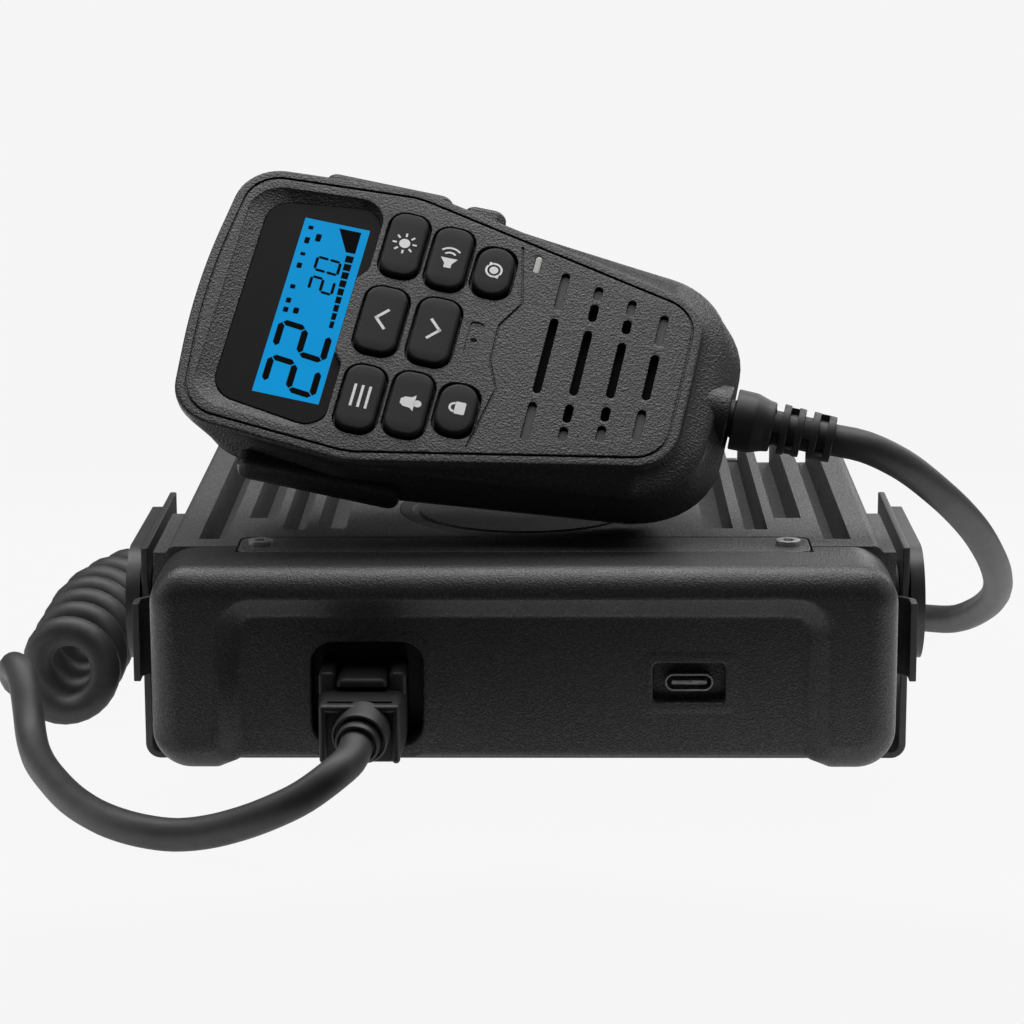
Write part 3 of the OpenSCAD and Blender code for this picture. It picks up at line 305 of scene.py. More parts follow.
def moulded(name, dark, light, rough, grain, depth, gloss=0.5):
    """Moulded plastic: leather-like grain from smooth cells and noise, mottled colour and roughness."""
    s = material(name)
    where = s.place()
    cells = s.cells(1.0 / grain, where)
    fine = s.noise(1.6 / grain, 3.0, where)
    broad = s.noise(0.08, 2.0, where)
    height = cells * 0.7 + fine * 0.6
    worn = height.between(0.3, 0.95, rough + 0.16, rough - 0.06)
    return s.plain(
        Base_Color=s.mix(height.between(0.3, 0.95), grey(dark), grey(light)),
        Roughness=worn + broad.between(0.35, 0.65, -0.02, 0.03),
        Specular_IOR_Level=gloss, Normal=s.bump(height, 1.0, depth * MM))


def smooth_black(name, colour, rough, gloss=0.5, wave=0.004):
    """Rubber or satin black: faint mottling and a very low, broad bump."""
    s = material(name)
    where = s.place()
    broad = s.noise(0.25, 3.0, where)
    fine = s.noise(5.0, 2.0, where)
    return s.plain(
        Base_Color=s.mix(broad.between(0.3, 0.7), grey(colour * 0.85), grey(colour * 1.2)),
        Roughness=fine.between(0.3, 0.7, rough - 0.05, rough + 0.06),
        Specular_IOR_Level=gloss, Normal=s.bump(fine, 0.6, wave * MM))


def metal(name, colour, rough, direction=(1.0, 12.0, 12.0)):
    """Metal with faint drawn lines, from noise stretched along one direction."""
    s = material(name)
    where = s.node("ShaderNodeVectorMath", {0: s.place(), 1: direction}, operation="MULTIPLY")
    lines = s.noise(0.6, 3.0, where)
    return s.plain(
        Base_Color=s.mix(lines.between(0.3, 0.7), grey(colour * 0.85), grey(colour)), Metallic=1.0,
        Roughness=lines.between(0.3, 0.7, rough - 0.06, rough + 0.08),
        Normal=s.bump(lines, 0.3, 0.01 * MM))


def tinted(name, colour, rough, spread=0.12):
    """Coloured plastic or board with light mottling."""
    s = material(name)
    n = s.noise(0.5, 3.0)
    low = tuple(c * (1 - spread) for c in colour) + (1.0,)
    high = tuple(min(1.0, c * (1 + spread)) for c in colour) + (1.0,)
    return s.plain(
        Base_Color=s.mix(n.between(0.3, 0.7), low, high),
        Roughness=n.between(0.3, 0.7, rough - 0.03, rough + 0.05))


def lit(name, colour, strength):
    """Lit display: even light with a slight unevenness of its backlight, under a satin front."""
    s = material(name)
    n = s.noise(0.06, 1.0)
    low = tuple(c * 0.93 for c in colour) + (1.0,)
    return s.plain(
        Base_Color=(0.0, 0.01, 0.02, 1.0), Roughness=0.5, Specular_IOR_Level=0.05,
        Emission_Color=s.mix(n.between(0.3, 0.7), low, tuple(colour) + (1.0,)),
        Emission_Strength=strength)


FINISH = {}


class RADIO_OT_materials(bpy.types.Operator):
    """All finishes by name: plastics, rubber, metals, boards, the lit display and the signs' ink."""

    bl_idname = "radio.materials"
    bl_label = "Materials"

    def execute(self, context):
        p = context.scene.radio_finish
        FINISH.update(
            bezel=moulded("bezel_plastic", 0.005, p.bezel, 0.34, 0.36, 0.08),
            cast=moulded("cast_black", 0.015, p.cast, 0.48, 0.34, 0.09, 0.45),
            sheet=smooth_black("sheet_black", p.sheet, 0.44, 0.5),
            soft=smooth_black("soft_black", 0.028, 0.48),
            cord=smooth_black("cord_black", p.cord, 0.5, 0.45),
            shell=moulded("handset_plastic", 0.002, p.shell, 0.36, 0.44, 0.14),
            key=smooth_black("key_rubber", p.key, 0.52, 0.22),
            lens=smooth_black("lens_black", 0.005, 0.55, 0.1, 0.0),
            # Near-black matte finish for painted shade: sheets set into the open slots and the pad's small
            # hole in place of the dark inside of the holes.
            hole=smooth_black("painted_hole_shade", 0.002, 0.8, 0.1, 0.0),
            display=lit("display_blue", p.display, 1.0),
            segment=smooth_black("segment_black", 0.001, 0.6, 0.03, 0.0),
            ink=tinted("ink_white", p.signs, 0.5, 0.02),
            steel=metal("steel", 0.62, 0.3),
            dark_steel=metal("black_steel", 0.6, 0.5),
            board=tinted("board_green", p.boards, 0.35),
            component=tinted("component_black", (0.03, 0.03, 0.033), 0.5),
            white=tinted("insulator_white", (0.8, 0.79, 0.76), 0.45, 0.03),
            clear=tinted("plug_clear", (0.62, 0.64, 0.66), 0.15, 0.05),
            lamp=tinted("lamp_clear", (0.5, 0.5, 0.49), 0.3, 0.08),
        )
        return {"FINISHED"}


class Build:
    """Points and faces of one piece, gathered ring by ring."""

    def __init__(self):
        self.points = np.empty((0, 3))
        self.faces = []

    def add(self, points):
        """Adds points and returns their numbers."""
        start = len(self.points)
        self.points = np.vstack([self.points, points])
        return np.arange(start, len(self.points))

    def flat(self, ring):
        """One flat face over a ring."""
        self.faces.append(self.add(ring).tolist())

    def join(self, other):
        """Takes in another build's points and faces."""
        ids = self.add(other.points)
        self.faces += [ids[f].tolist() for f in other.faces]

    def rings(self, rings, caps=(False, False)):
        """Skin over rings of equal count: quads between neighbours, with flat ends where asked."""
        ids = [self.add(r) for r in rings]
        for a, b in zip(ids, ids[1:]):
            self.faces += np.stack([a, np.roll(a, -1), np.roll(b, -1), b], 1).tolist()
        if caps[0]:
            self.faces.append(ids[0][::-1].tolist())
        if caps[1]:
            self.faces.append(ids[-1].tolist())

    def plate(self, outer, holes, z):
        """Flat sheet inside one outline and outside others, by constrained triangulation."""
        loops = [np.asarray(outer, float)] + [np.asarray(h, float) for h in holes]
        starts = np.cumsum([0] + [len(loop) for loop in loops])
        edges = []
        for a, b in zip(starts, starts[1:]):
            i = np.arange(a, b)
            edges += np.stack([i, np.roll(i, -1)], 1).tolist()
        verts, _, faces, *_ = delaunay_2d_cdt(np.concatenate(loops).tolist(), edges, [], 1, 1e-6)
        xy, triangles = np.array(verts), np.array(faces)
        ids = self.add(at_height(xy, z))
        middles = xy[triangles].mean(1)
        cut = np.zeros(len(triangles), bool)
        for hole in loops[1:]:
            cut |= inside(hole, middles)
        self.faces += ids[triangles[~cut]].tolist()

    def placed(self, rotation, origin):
        """Turns all points and then moves them."""
        self.points = self.points @ np.asarray(rotation).T + np.asarray(origin)
        return self

    def piece(self, name, finish, body, nodes=(), smooth=40.0, weld=1e-6):
        """Mesh object that rides on a CAD body and stands for CAD nodes."""
        mesh = bpy.data.meshes.new(name)
        mesh.from_pydata((self.points * MM).tolist(), [], self.faces)
        bm = bmesh.new()
        bm.from_mesh(mesh)
        bmesh.ops.remove_doubles(bm, verts=bm.verts, dist=weld)
        bmesh.ops.recalc_face_normals(bm, faces=bm.faces)
        bm.to_mesh(mesh)
        bm.free()
        mesh.polygons.foreach_set("use_smooth", np.ones(len(mesh.polygons), dtype=bool))
        mesh.set_sharp_from_angle(angle=math.radians(smooth))
        mesh.materials.append(FINISH[finish])
        obj = bpy.data.objects.new(name, mesh)
        bpy.context.scene.collection.objects.link(obj)
        weighted = obj.modifiers.new("weighted", "WEIGHTED_NORMAL")
        weighted.keep_sharp = True
        weighted.weight = 100
        if body:
            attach(obj, body)
        if nodes:
            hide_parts(*nodes)
        return obj


def inside(loop, points):
    """Which points lie in an outline: odd count of crossings of a ray towards +x."""
    x0, y0 = loop.T
    x1, y1 = np.roll(loop, -1, 0).T
    x, y = points[:, :1], points[:, 1:]
    rise = np.where(y1 == y0, 1.0, y1 - y0)
    crossed = ((y < y0) != (y < y1)) & (x < x0 + (y - y0) * (x1 - x0) / rise)
    return crossed.sum(1) % 2 == 1


def rounded(w, h, r, n=7):
    """Rounded rectangle about the origin: four arcs r(cos a, sin a) at the corners' middles."""
    r = max(min(r, w / 2 - 1e-4, h / 2 - 1e-4), 1e-3)
    out = []
    for cx, cy, a0 in ((1, -1, -90), (1, 1, 0), (-1, 1, 90), (-1, -1, 180)):
        a = np.radians(a0 + np.linspace(0, 90, n))
        out.append(np.stack([cx * (w / 2 - r) + r * np.cos(a), cy * (h / 2 - r) + r * np.sin(a)], 1))
    return np.concatenate(out)


def chain(circles, grow=0.0, steps=10):
    """Outline round a mirrored chain of circles, along their common outer tangents at
    atan2(d) + acos((r1 - r2) / |d|), grown outwards by grow."""
    turns = [90.0]
    for (x1, y1, r1), (x2, y2, r2) in zip(circles, circles[1:]):
        slope = math.atan2(y2 - y1, x2 - x1)
        turn = math.degrees(slope + math.acos((r1 - r2) / math.hypot(x2 - x1, y2 - y1)))
        turns.append(turn - 360.0 if turn > 180.0 else turn)
    turns.append(-90.0)
    side = []
    for (x, y, r), a0, a1 in zip(circles, turns, turns[1:]):
        a = np.radians(np.linspace(a0, a1, steps + 1))
        side.append(np.stack([x + (r + grow) * np.cos(a), y + (r + grow) * np.sin(a)], 1))
    side = np.concatenate(side)
    return np.concatenate([side[::-1], side * [-1, 1]])


def at_height(ring, z):
    """Flat ring lifted to one height."""
    return np.column_stack([ring, np.full(len(ring), z)])


def at_depth(ring, y):
    """Upright ring, given across and up, set at one or each point's own depth."""
    return np.column_stack([ring[:, 0], np.full(len(ring), y), ring[:, 1]])


def eased(controls, count):
    """Quadratic B-spline through control rings, clamped at both ends, as count rings."""
    c = [np.asarray(r, float) for r in controls]
    mids = [c[0]] + [(a + b) / 2 for a, b in zip(c[1:-1], c[2:-1])] + [c[-1]]
    out = []
    spans = len(c) - 2
    for k in range(spans):
        t = np.linspace(0, 1, count // spans + 1)
        for u in t[(0 if k == 0 else 1):]:
            out.append((1 - u) ** 2 * mids[k] + 2 * u * (1 - u) * c[k + 1] + u ** 2 * mids[k + 1])
    return out


def pillow(build, outline, z0, z1, edge, crown, reach, steps=5):
    """Cap over outline(grow): straight wall, quarter-round edge, then a crown rising by
    crown(1 - (1 - t)^2) over the inset reach."""
    rings = [at_height(outline(0.0), z0), at_height(outline(0.0), z1 - edge)]
    for k in range(1, steps + 1):
        a = math.pi / 2 * k / steps
        rings.append(at_height(outline(-edge * (1 - math.cos(a))), z1 - edge + edge * math.sin(a)))
    for t in (0.25, 0.5, 0.75, 1.0):
        rings.append(at_height(outline(-edge - (reach - edge) * t), z1 + crown * (1 - (1 - t) ** 2)))
    build.rings(rings, (False, True))


def well(build, outline, depth, lip):
    """Hole in a plate at z 0: rounded lip, wall and floor. Returns the plate's opening."""
    turns = np.radians([0, 30, 60, 90])
    levels = [(outline(lip * (1 - math.sin(a))), -lip * (1 - math.cos(a))) for a in turns]
    build.rings(lifted(levels + [(outline(0.0), -depth)]), (False, True))
    return outline(lip)


# Outlines on the handset as chains of circles (x, y, radius); keys, pad and lamp as (x, y, width, height).
SHELL = ((0.0, -124.4, 142.0), (17.6, 4.2, 13.0), (15.0, -13.0, 18.2), (9.8, -66.2, 16.8), (0.0, -23.2, 60.0))
BROW = ((0.0, -120.1, 142.0), (20.8, 13.2, 7.9), (14.8, -13.0, 16.6), (10.6, -64.5, 15.2), (0.0, -33.0, 47.2))
FACE = ((0.0, -121.6, 142.0), (21.0, 11.8, 7.2), (13.9, -13.0, 16.0), (11.2, -65.2, 7.2), (0.0, -28.5, 44.0))
LENS = ((18.4, 8.9, 5.2), (20.9, -4.0, 4.6))
DISH = ((19.2, 10.9, 6.7), (22.0, -3.6, 5.0))
KEYS = {
    "weather": (18.1, -14.0, 14.8, 7.6), "monitor": (17.2, -23.2, 14.4, 7.6),
    "scan": (16.2, -32.2, 11.4, 7.4),
    "up": (0.0, -13.7, 15.4, 8.2), "down": (0.0, -24.1, 15.2, 8.2),
    "menu": (-18.1, -14.0, 14.8, 7.6), "call": (-17.2, -23.2, 14.4, 7.6),
    "lock": (-16.2, -32.2, 11.4, 7.4),
}
KEY_GAP = 0.9
# Speaker slots: place along y, half length of the middle slot, then from and to of the short ones beside it.
SLOTS = (
    (-46.0, 8.7, None, (10.9, 19.6)), (-52.9, 7.5, (9.8, 14.3), (14.3, 18.0)),
    (-59.8, 6.4, (8.6, 12.3), (12.3, 16.5)), (-66.5, 5.2, None, (7.6, 14.6)),
)
OPEN_DEPTH, BLIND_DEPTH = 1.9, 0.85
CREASE = ((23.7, -36.4), (10.6, -39.1), (4.7, -35.9), (-3.9, -36.0), (-9.7, -38.4), (-23.7, -35.8))
PAD = (0.3, -31.8, 8.0, 2.7)
LAMP = (20.1, -40.1, 4.2, 1.3)
CORD_AXIS = (0.0, 0.0, -8.2)
RELIEF_END = 103.0


def handset_pose(p):
    """Rotation and origin of the handset's frame."""
    m = turn_about("z", p.turn) @ turn_about("y", p.lift) @ turn_about("x", p.lean) @ turn_about("z", 90)
    return m, p.place


def lifted(levels):
    """Rings lifted to their heights."""
    return [at_height(ring, z) for ring, z in levels]


def stacked(circles, levels):
    """Rings of one chain of circles, each grown by a distance and lifted to a height."""
    return lifted((chain(circles, grow), z) for grow, z in levels)


def moved_rect(cx, cy, w, h, r):
    """Outline function of a rounded rectangle somewhere on the face."""
    return lambda g: rounded(w + 2 * g, h + 2 * g, r + g) + [cx, cy]


def strip_along(points, half):
    """Outline function of a strip along a line, half wide each side, square to its bends."""
    p = np.asarray(points, float)
    d = np.gradient(p, axis=0)
    n = np.stack([-d[:, 1], d[:, 0]], 1) / np.linalg.norm(d, axis=1)[:, None]

    def outline(g):
        """Both sides of the strip, grown by g."""
        return np.concatenate([p + n * (half + g), (p - n * (half + g))[::-1]])
    return outline


def window(circles, grow=0.0):
    """Display window: chain outline whose low side steps in beside the middle key."""
    ring = chain(circles, grow)
    x = np.linspace(-1, 1, 41)[1:-1] * circles[-1][0]
    half, slope, rise = 11.6, 3.4, 1.9
    step = np.clip((half - np.abs(x)) / slope, 0, 1)
    low = ring[:, 1].min() + rise * step * step * (3 - 2 * step)
    return np.concatenate([ring, np.column_stack([x, low])])


class RADIO_OT_handset(bpy.types.Operator):
    """Handset shells: skin eased from the side walls to the face, grooved face with wells and slots."""

    bl_idname = "radio.handset"
    bl_label = "Handset shells"

    def execute(self, context):
        p = settings(context.scene.radio_handset)
        m, o = handset_pose(p)
        part = -p.front_depth
        g = p.groove
        b = Build()
        waist = chain(SHELL) * 0.7 + chain(BROW) * 0.3
        skin = eased(lifted([(chain(SHELL), part + 0.15), (waist, part + 2.2)])
                     + stacked(BROW, [(0.0, -4.4), (0.0, -2.9)])
                     + stacked(FACE, [(2.2, -1.3), (2.0, -0.2), (1.5, 0.0), (g + 0.1, 0.0)]), 36)
        lower = stacked(SHELL, [(-1.2, part - 0.3), (-0.3, part - 0.1)])
        channel = stacked(FACE, [(g, 0.0), (g * 0.8, -0.08), (g * 0.7, -0.5), (-g * 0.7, -0.5),
                                 (-g * 0.8, -0.08), (-g - 0.1, 0.0)])
        b.rings(lower + skin + channel)
        dish = [(window(DISH, 0.3), 0.0), (window(DISH, 0.1), -0.06), (window(DISH, -0.05), -0.25),
                (window(LENS, 0.35), -1.0), (window(LENS, 0.1), -1.1), (window(LENS, 0.05), -1.6)]
        b.rings(lifted(dish), (False, True))
        holes = [dish[0][0]]
        for cx, cy, w, h in KEYS.values():
            holes.append(well(b, moved_rect(cx, cy, w + KEY_GAP, h + KEY_GAP, 3.3), 2.0, 0.25))

        # dark gathers painted shade: a near-black disc in the pad's hollow and a near-black sheet just over
        # the floor of each open slot, in place of the shade inside the holes.
        floors, dark = Build(), Build()
        a = np.linspace(0, 2 * np.pi, 13)[:-1]
        dark.flat(at_height(np.stack([0.5 * np.cos(a), 0.7 * np.sin(a)], 1) + PAD[:2], -0.23))
        for y, middle, opened, blind in SLOTS:
            runs = [(-middle, middle, OPEN_DEPTH)]
            for e in (-1, 1):
                if opened:
                    runs.append((*sorted((e * opened[0], e * (opened[1] - 0.5))), OPEN_DEPTH))
                runs.append((*sorted((e * (blind[0] + (0.6 if opened else 0.0)), e * blind[1])), BLIND_DEPTH))
            for x0, x1, depth in runs:
                edge = moved_rect((x0 + x1) / 2, y, x1 - x0, p.slot_width, p.slot_width / 2)
                holes.append(well(b, edge, depth, 0.14))
                if depth == BLIND_DEPTH:
                    floors.flat(at_height(edge(-0.06), 0.03 - depth))
                else:
                    # Painted shade: a near-black sheet over the open slot's floor.
                    dark.flat(at_height(edge(0.0), 0.05 - depth))
        holes.append(well(b, moved_rect(*LAMP, 0.65), 0.6, 0.25))
        holes.append(well(b, moved_rect(*PAD, 0.8), 0.25, 0.1))
        holes.append(well(b, strip_along(CREASE, 0.22), 0.45, 0.12))
        boss = Build()
        boss.rings(revolved(softened([(6.0, 76.5), (6.0, 82.5), (3.7, 82.5)], 0.4)))
        b.join(boss.placed(turn_about("x", 90), CORD_AXIS))
        b.plate(chain(FACE, -g - 0.1), holes, 0.0)
        b.placed(m, o).piece("handset_front", "shell", "handset", ["handset_front_shell"], 50)

        rear = Build()
        back = part - p.rear_depth
        lip = stacked(SHELL, [(-1.2, part + 0.2), (-0.3, part - 0.05)])
        hull = stacked(SHELL, [(0.0, part - 0.25), (-1.2, part - 2), (-3, part - 5), (-6, part - 10),
                               (-8.1, back + 3.2), (-9.1, back + 0.6), (-10.2, back), (-11.4, back)])
        rear.rings(lip + eased(hull, 36), (False, True))
        rear.placed(m, o).piece("handset_rear", "shell", "handset", ["handset_rear_shell"], 50)

        floors.placed(m, o).piece("slot_floors", "soft", "handset")
        dark.placed(m, o).piece("painted_opening_shade", "hole", "handset")
        return {"FINISHED"}


class RADIO_OT_keys(bpy.types.Operator):
    """Keys: pillow caps with white signs, each riding on its own joint."""

    bl_idname = "radio.keys"
    bl_label = "Keys"

    def execute(self, context):
        p = settings(context.scene.radio_handset)
        m, o = handset_pose(p)
        sign_size = 1.2
        for name, (cx, cy, w, h) in KEYS.items():
            b = Build()
            corner = 3.6 if w < 12 else 2.9
            pillow(b, moved_rect(cx, cy, w, h, corner), -2.9, p.key_rise - 0.05, 0.75, 0.12, 3.0)
            b.placed(m, o).piece(f"key_cap_{name}", "key", f"key_{name}_body", [f"key_{name}"], 60)
            sign = Build()
            for ring in key_sign(name):
                sign.flat(at_height(np.asarray(ring) * sign_size + [cx, cy], p.key_rise + 0.11))
            sign.placed(m, o).piece(f"key_sign_{name}", "ink", f"key_{name}_body")
        # Node, body, side, from and to along y, middle and size along z, reach outwards.
        side_keys = (
            ("talk_bar", "talk", -1, -25.0, 6.5, -9.6, 6.4, 33.8),
            ("volume_rocker", "volume", 1, -20.0, 6.0, -9.2, 6.2, 37.0),
            ("power_key", "power", 1, -31.0, -22.4, -9.2, 6.2, 36.0),
        )
        swap = np.array([[0, 0, 1], [1, 0, 0], [0, 1, 0]])
        for node, body, side, y0, y1, z, h, out in side_keys:
            b = Build()
            pillow(b, moved_rect((y0 + y1) / 2, z, y1 - y0, h, 2.5), 26.0, out - 0.3, 1.3, 0.3, 2.6)
            b.placed(swap, (0, 0, 0)).placed(np.diag([side, 1, 1]), (0, 0, 0))
            b.placed(m, o).piece(f"{node}_cap", "shell", body, [node], 60)
        return {"FINISHED"}


def bar(x0, y0, x1, y1, half):
    """Straight stroke between two points."""
    d = np.array([x1 - x0, y1 - y0])
    n = np.array([-d[1], d[0]]) / np.hypot(*d) * half
    return np.array([(x0, y0) + n, (x0, y0) - n, (x1, y1) - n, (x1, y1) + n])


def arc_stroke(cx, cy, r, a0, a1, half, n=12):
    """Curved stroke of a circle from angle a0 to a1, in degrees."""
    a = np.radians(np.linspace(a0, a1, n))
    u = np.stack([np.cos(a), np.sin(a)], 1)
    return np.concatenate([u * (r + half), (u * (r - half))[::-1]]) + [cx, cy]


def key_sign(name):
    """White sign of a key as flat outlines about the key's middle, up towards the display."""
    disc = arc_stroke(0, 0, 0.36, 0, 360, 0.36, 24)
    if name == "up":
        return [bar(-1.9, -0.9, 0.15, 1.0, 0.24), bar(1.9, -0.9, -0.15, 1.0, 0.24)]
    if name == "down":
        return [bar(-1.9, 0.9, 0.15, -1.0, 0.24), bar(1.9, 0.9, -0.15, -1.0, 0.24)]
    if name == "weather":
        rays = [bar(1.3 * math.cos(a), 1.3 * math.sin(a), 2.0 * math.cos(a), 2.0 * math.sin(a), 0.17)
                for a in np.radians(np.arange(0, 360, 45))]
        return [arc_stroke(0, 0, 0.45, 0, 360, 0.45, 24)] + rays
    if name == "monitor":
        horn = [(-2.2, -0.6), (-1.4, -0.6), (-0.3, -1.4), (-0.3, 1.4), (-1.4, 0.6), (-2.2, 0.6)]
        return [horn, arc_stroke(-0.4, 0, 1.2, -45, 45, 0.17), arc_stroke(-0.4, 0, 2.1, -45, 45, 0.17)]
    if name == "scan":
        tips = [[(1.5, 0.9), (0.55, 1.05), (1.25, 0.05)], [(-1.5, -0.9), (-0.55, -1.05), (-1.25, -0.05)]]
        return [disc, arc_stroke(0, 0, 1.25, -125, 15, 0.18), arc_stroke(0, 0, 1.25, 55, 195, 0.18)] + tips
    if name == "menu":
        return [bar(-2.1, y, 2.1, y, 0.22) for y in (-1.2, 0.0, 1.2)]
    if name == "call":
        half = [(-1.5, -0.9), (-1.0, -0.3), (-0.9, 0.8), (-0.4, 1.4)]
        bell = half + [(-x, y) for x, y in reversed(half)]
        return [bell, disc * 0.9 + [0, -1.35]]
    return [rounded(2.3, 1.7, 0.25) + [0, -0.55], arc_stroke(0, 0.35, 0.75, 0, 180, 0.19)]


SEGMENTS = {"0": "abcdef", "2": "abged"}


def digit(text, x, y, w, h, t, lean=0.08):
    """Seven-segment figure: each stroke a bar with pointed ends, sheared by lean."""
    lines = {"a": (0, h, w, h), "b": (w, h, w, h / 2), "c": (w, h / 2, w, 0), "d": (0, 0, w, 0),
             "e": (0, 0, 0, h / 2), "f": (0, h / 2, 0, h), "g": (0, h / 2, w, h / 2)}
    out = []
    for k in SEGMENTS[text]:
        p, q = np.array(lines[k][:2]), np.array(lines[k][2:])
        d = (q - p) / np.linalg.norm(q - p)
        n = np.array([-d[1], d[0]])
        s, e = p + d * 0.12 * t, q - d * 0.12 * t
        ring = np.array([s, s + (d + n) * t / 2, e + (n - d) * t / 2,
                         e, e - (n + d) * t / 2, s + (d - n) * t / 2])
        ring[:, 0] += ring[:, 1] * lean
        out.append(ring + [x, y])
    return out


class RADIO_OT_display(bpy.types.Operator):
    """Display window, lit display with plain figures and a signal bar, and the status lamp."""

    bl_idname = "radio.display"
    bl_label = "Display"

    def execute(self, context):
        m, o = handset_pose(settings(context.scene.radio_handset))
        lens = Build()
        top = -0.95
        lens.rings(lifted([(window(LENS, -0.05), -1.5), (window(LENS, -0.05), top - 0.12),
                           (window(LENS, -0.17), top)]))
        opening = rounded(41.4, 13.0, 0.15)
        lens.plate(window(LENS, -0.17), [opening], top)
        lens.rings(lifted([(opening, top), (opening, top - 0.3)]))
        lens.placed(m, o).piece("display_window", "lens", "handset", ["display_lens"], 40)
        panel = Build()
        panel.flat(at_height(rounded(41.8, 13.4, 0.1), top - 0.04))
        panel.placed(m, o).piece("display_panel", "display", "handset", ["lcd_module"])
        marks = digit("2", -19.2, -4.8, 5.8, 9.6, 1.3, 0.12) + digit("2", -11.0, -4.8, 5.8, 9.6, 1.3, 0.12)
        marks += digit("2", 4.2, -2.75, 3.0, 4.6, 0.6) + digit("0", 8.9, -2.75, 3.0, 4.6, 0.6)
        foot = -4.95
        for k in range(9):
            half = 0.42 + 0.045 * k
            marks.append(bar(-3.3 + 1.95 * k, half + foot, -1.7 + 1.95 * k, half + foot, half))
        marks.append(np.array([(14.6, foot), (14.6, -3.1), (19.8, -0.5), (19.8, foot)]))
        for x, w in ((-1.2, 1.2), (1.0, 1.2), (4.3, 1.0), (9.4, 1.3), (12.2, 0.8), (15.5, 1.5), (18.6, 0.9)):
            marks.append(rounded(w, 1.0, 0.2) + [x, 4.9])
        for x, w in ((-1.0, 1.4), (16.6, 1.8)):
            marks.append(rounded(w, 1.1, 0.3) + [x, 2.9])
        ink = Build()
        for ring in marks:
            ink.flat(at_height(ring, top - 0.02))
        ink.placed(m, o).piece("display_figures", "segment", "handset")
        lamp = Build()
        pillow(lamp, moved_rect(*LAMP, 0.64), -0.7, 0.0, 0.2, 0.05, 0.5)
        lamp.placed(m, o).piece("lamp_cap", "lamp", "handset", ["status_lamp"], 60)
        return {"FINISHED"}


def revolved(profile, sides=48):
    """Rings of a turned shape: each (radius, height) swept round z."""
    a = np.linspace(0, 2 * np.pi, sides, endpoint=False)
    return [np.stack([r * np.cos(a), r * np.sin(a), np.full(sides, z)], 1) for r, z in profile]


def softened(profile, r):
    """Turned profile with each inner corner b rounded by the quadratic curve
    (1 - t)^2 (b + u r) + 2 t (1 - t) b + t^2 (b + v r), u and v along its two sides."""
    p = [np.array(q, float) for q in profile]
    out = [p[0]]
    for a, b, c in zip(p, p[1:], p[2:]):
        u, v = (a - b) / np.linalg.norm(a - b), (c - b) / np.linalg.norm(c - b)
        k = min(r, np.linalg.norm(a - b) / 2.2, np.linalg.norm(c - b) / 2.2)
        for t in (0.0, 0.33, 0.67, 1.0):
            out.append((1 - t) ** 2 * (b + u * k) + 2 * t * (1 - t) * b + t ** 2 * (b + v * k))
    return out + [p[-1]]


# Where the cord leaves the boot, in which direction, and the collar's length there.
BOOT_EXIT = np.array([-29.5, -78.0, 20.272])
EXIT_DIR = np.array([-0.18, -0.945, -0.27]) / np.linalg.norm([-0.18, -0.945, -0.27])
COLLAR = 4.0


def bridge(build, inner, outer, z0, z1, middle, half, steps=8):
    """Block between two heights of a turned piece, over an angle of half each side of middle."""
    a = np.radians(middle + np.linspace(-half, half, steps))
    u = np.stack([np.cos(a), np.sin(a), 0 * a], 1)[:, None, :]
    edge = np.array([(inner, z0), (outer, z0), (outer, z1), (inner, z1)])
    build.rings(list(edge[None, :, :1] * u + edge[None, :, 1:] * [0, 0, 1]), (True, True))


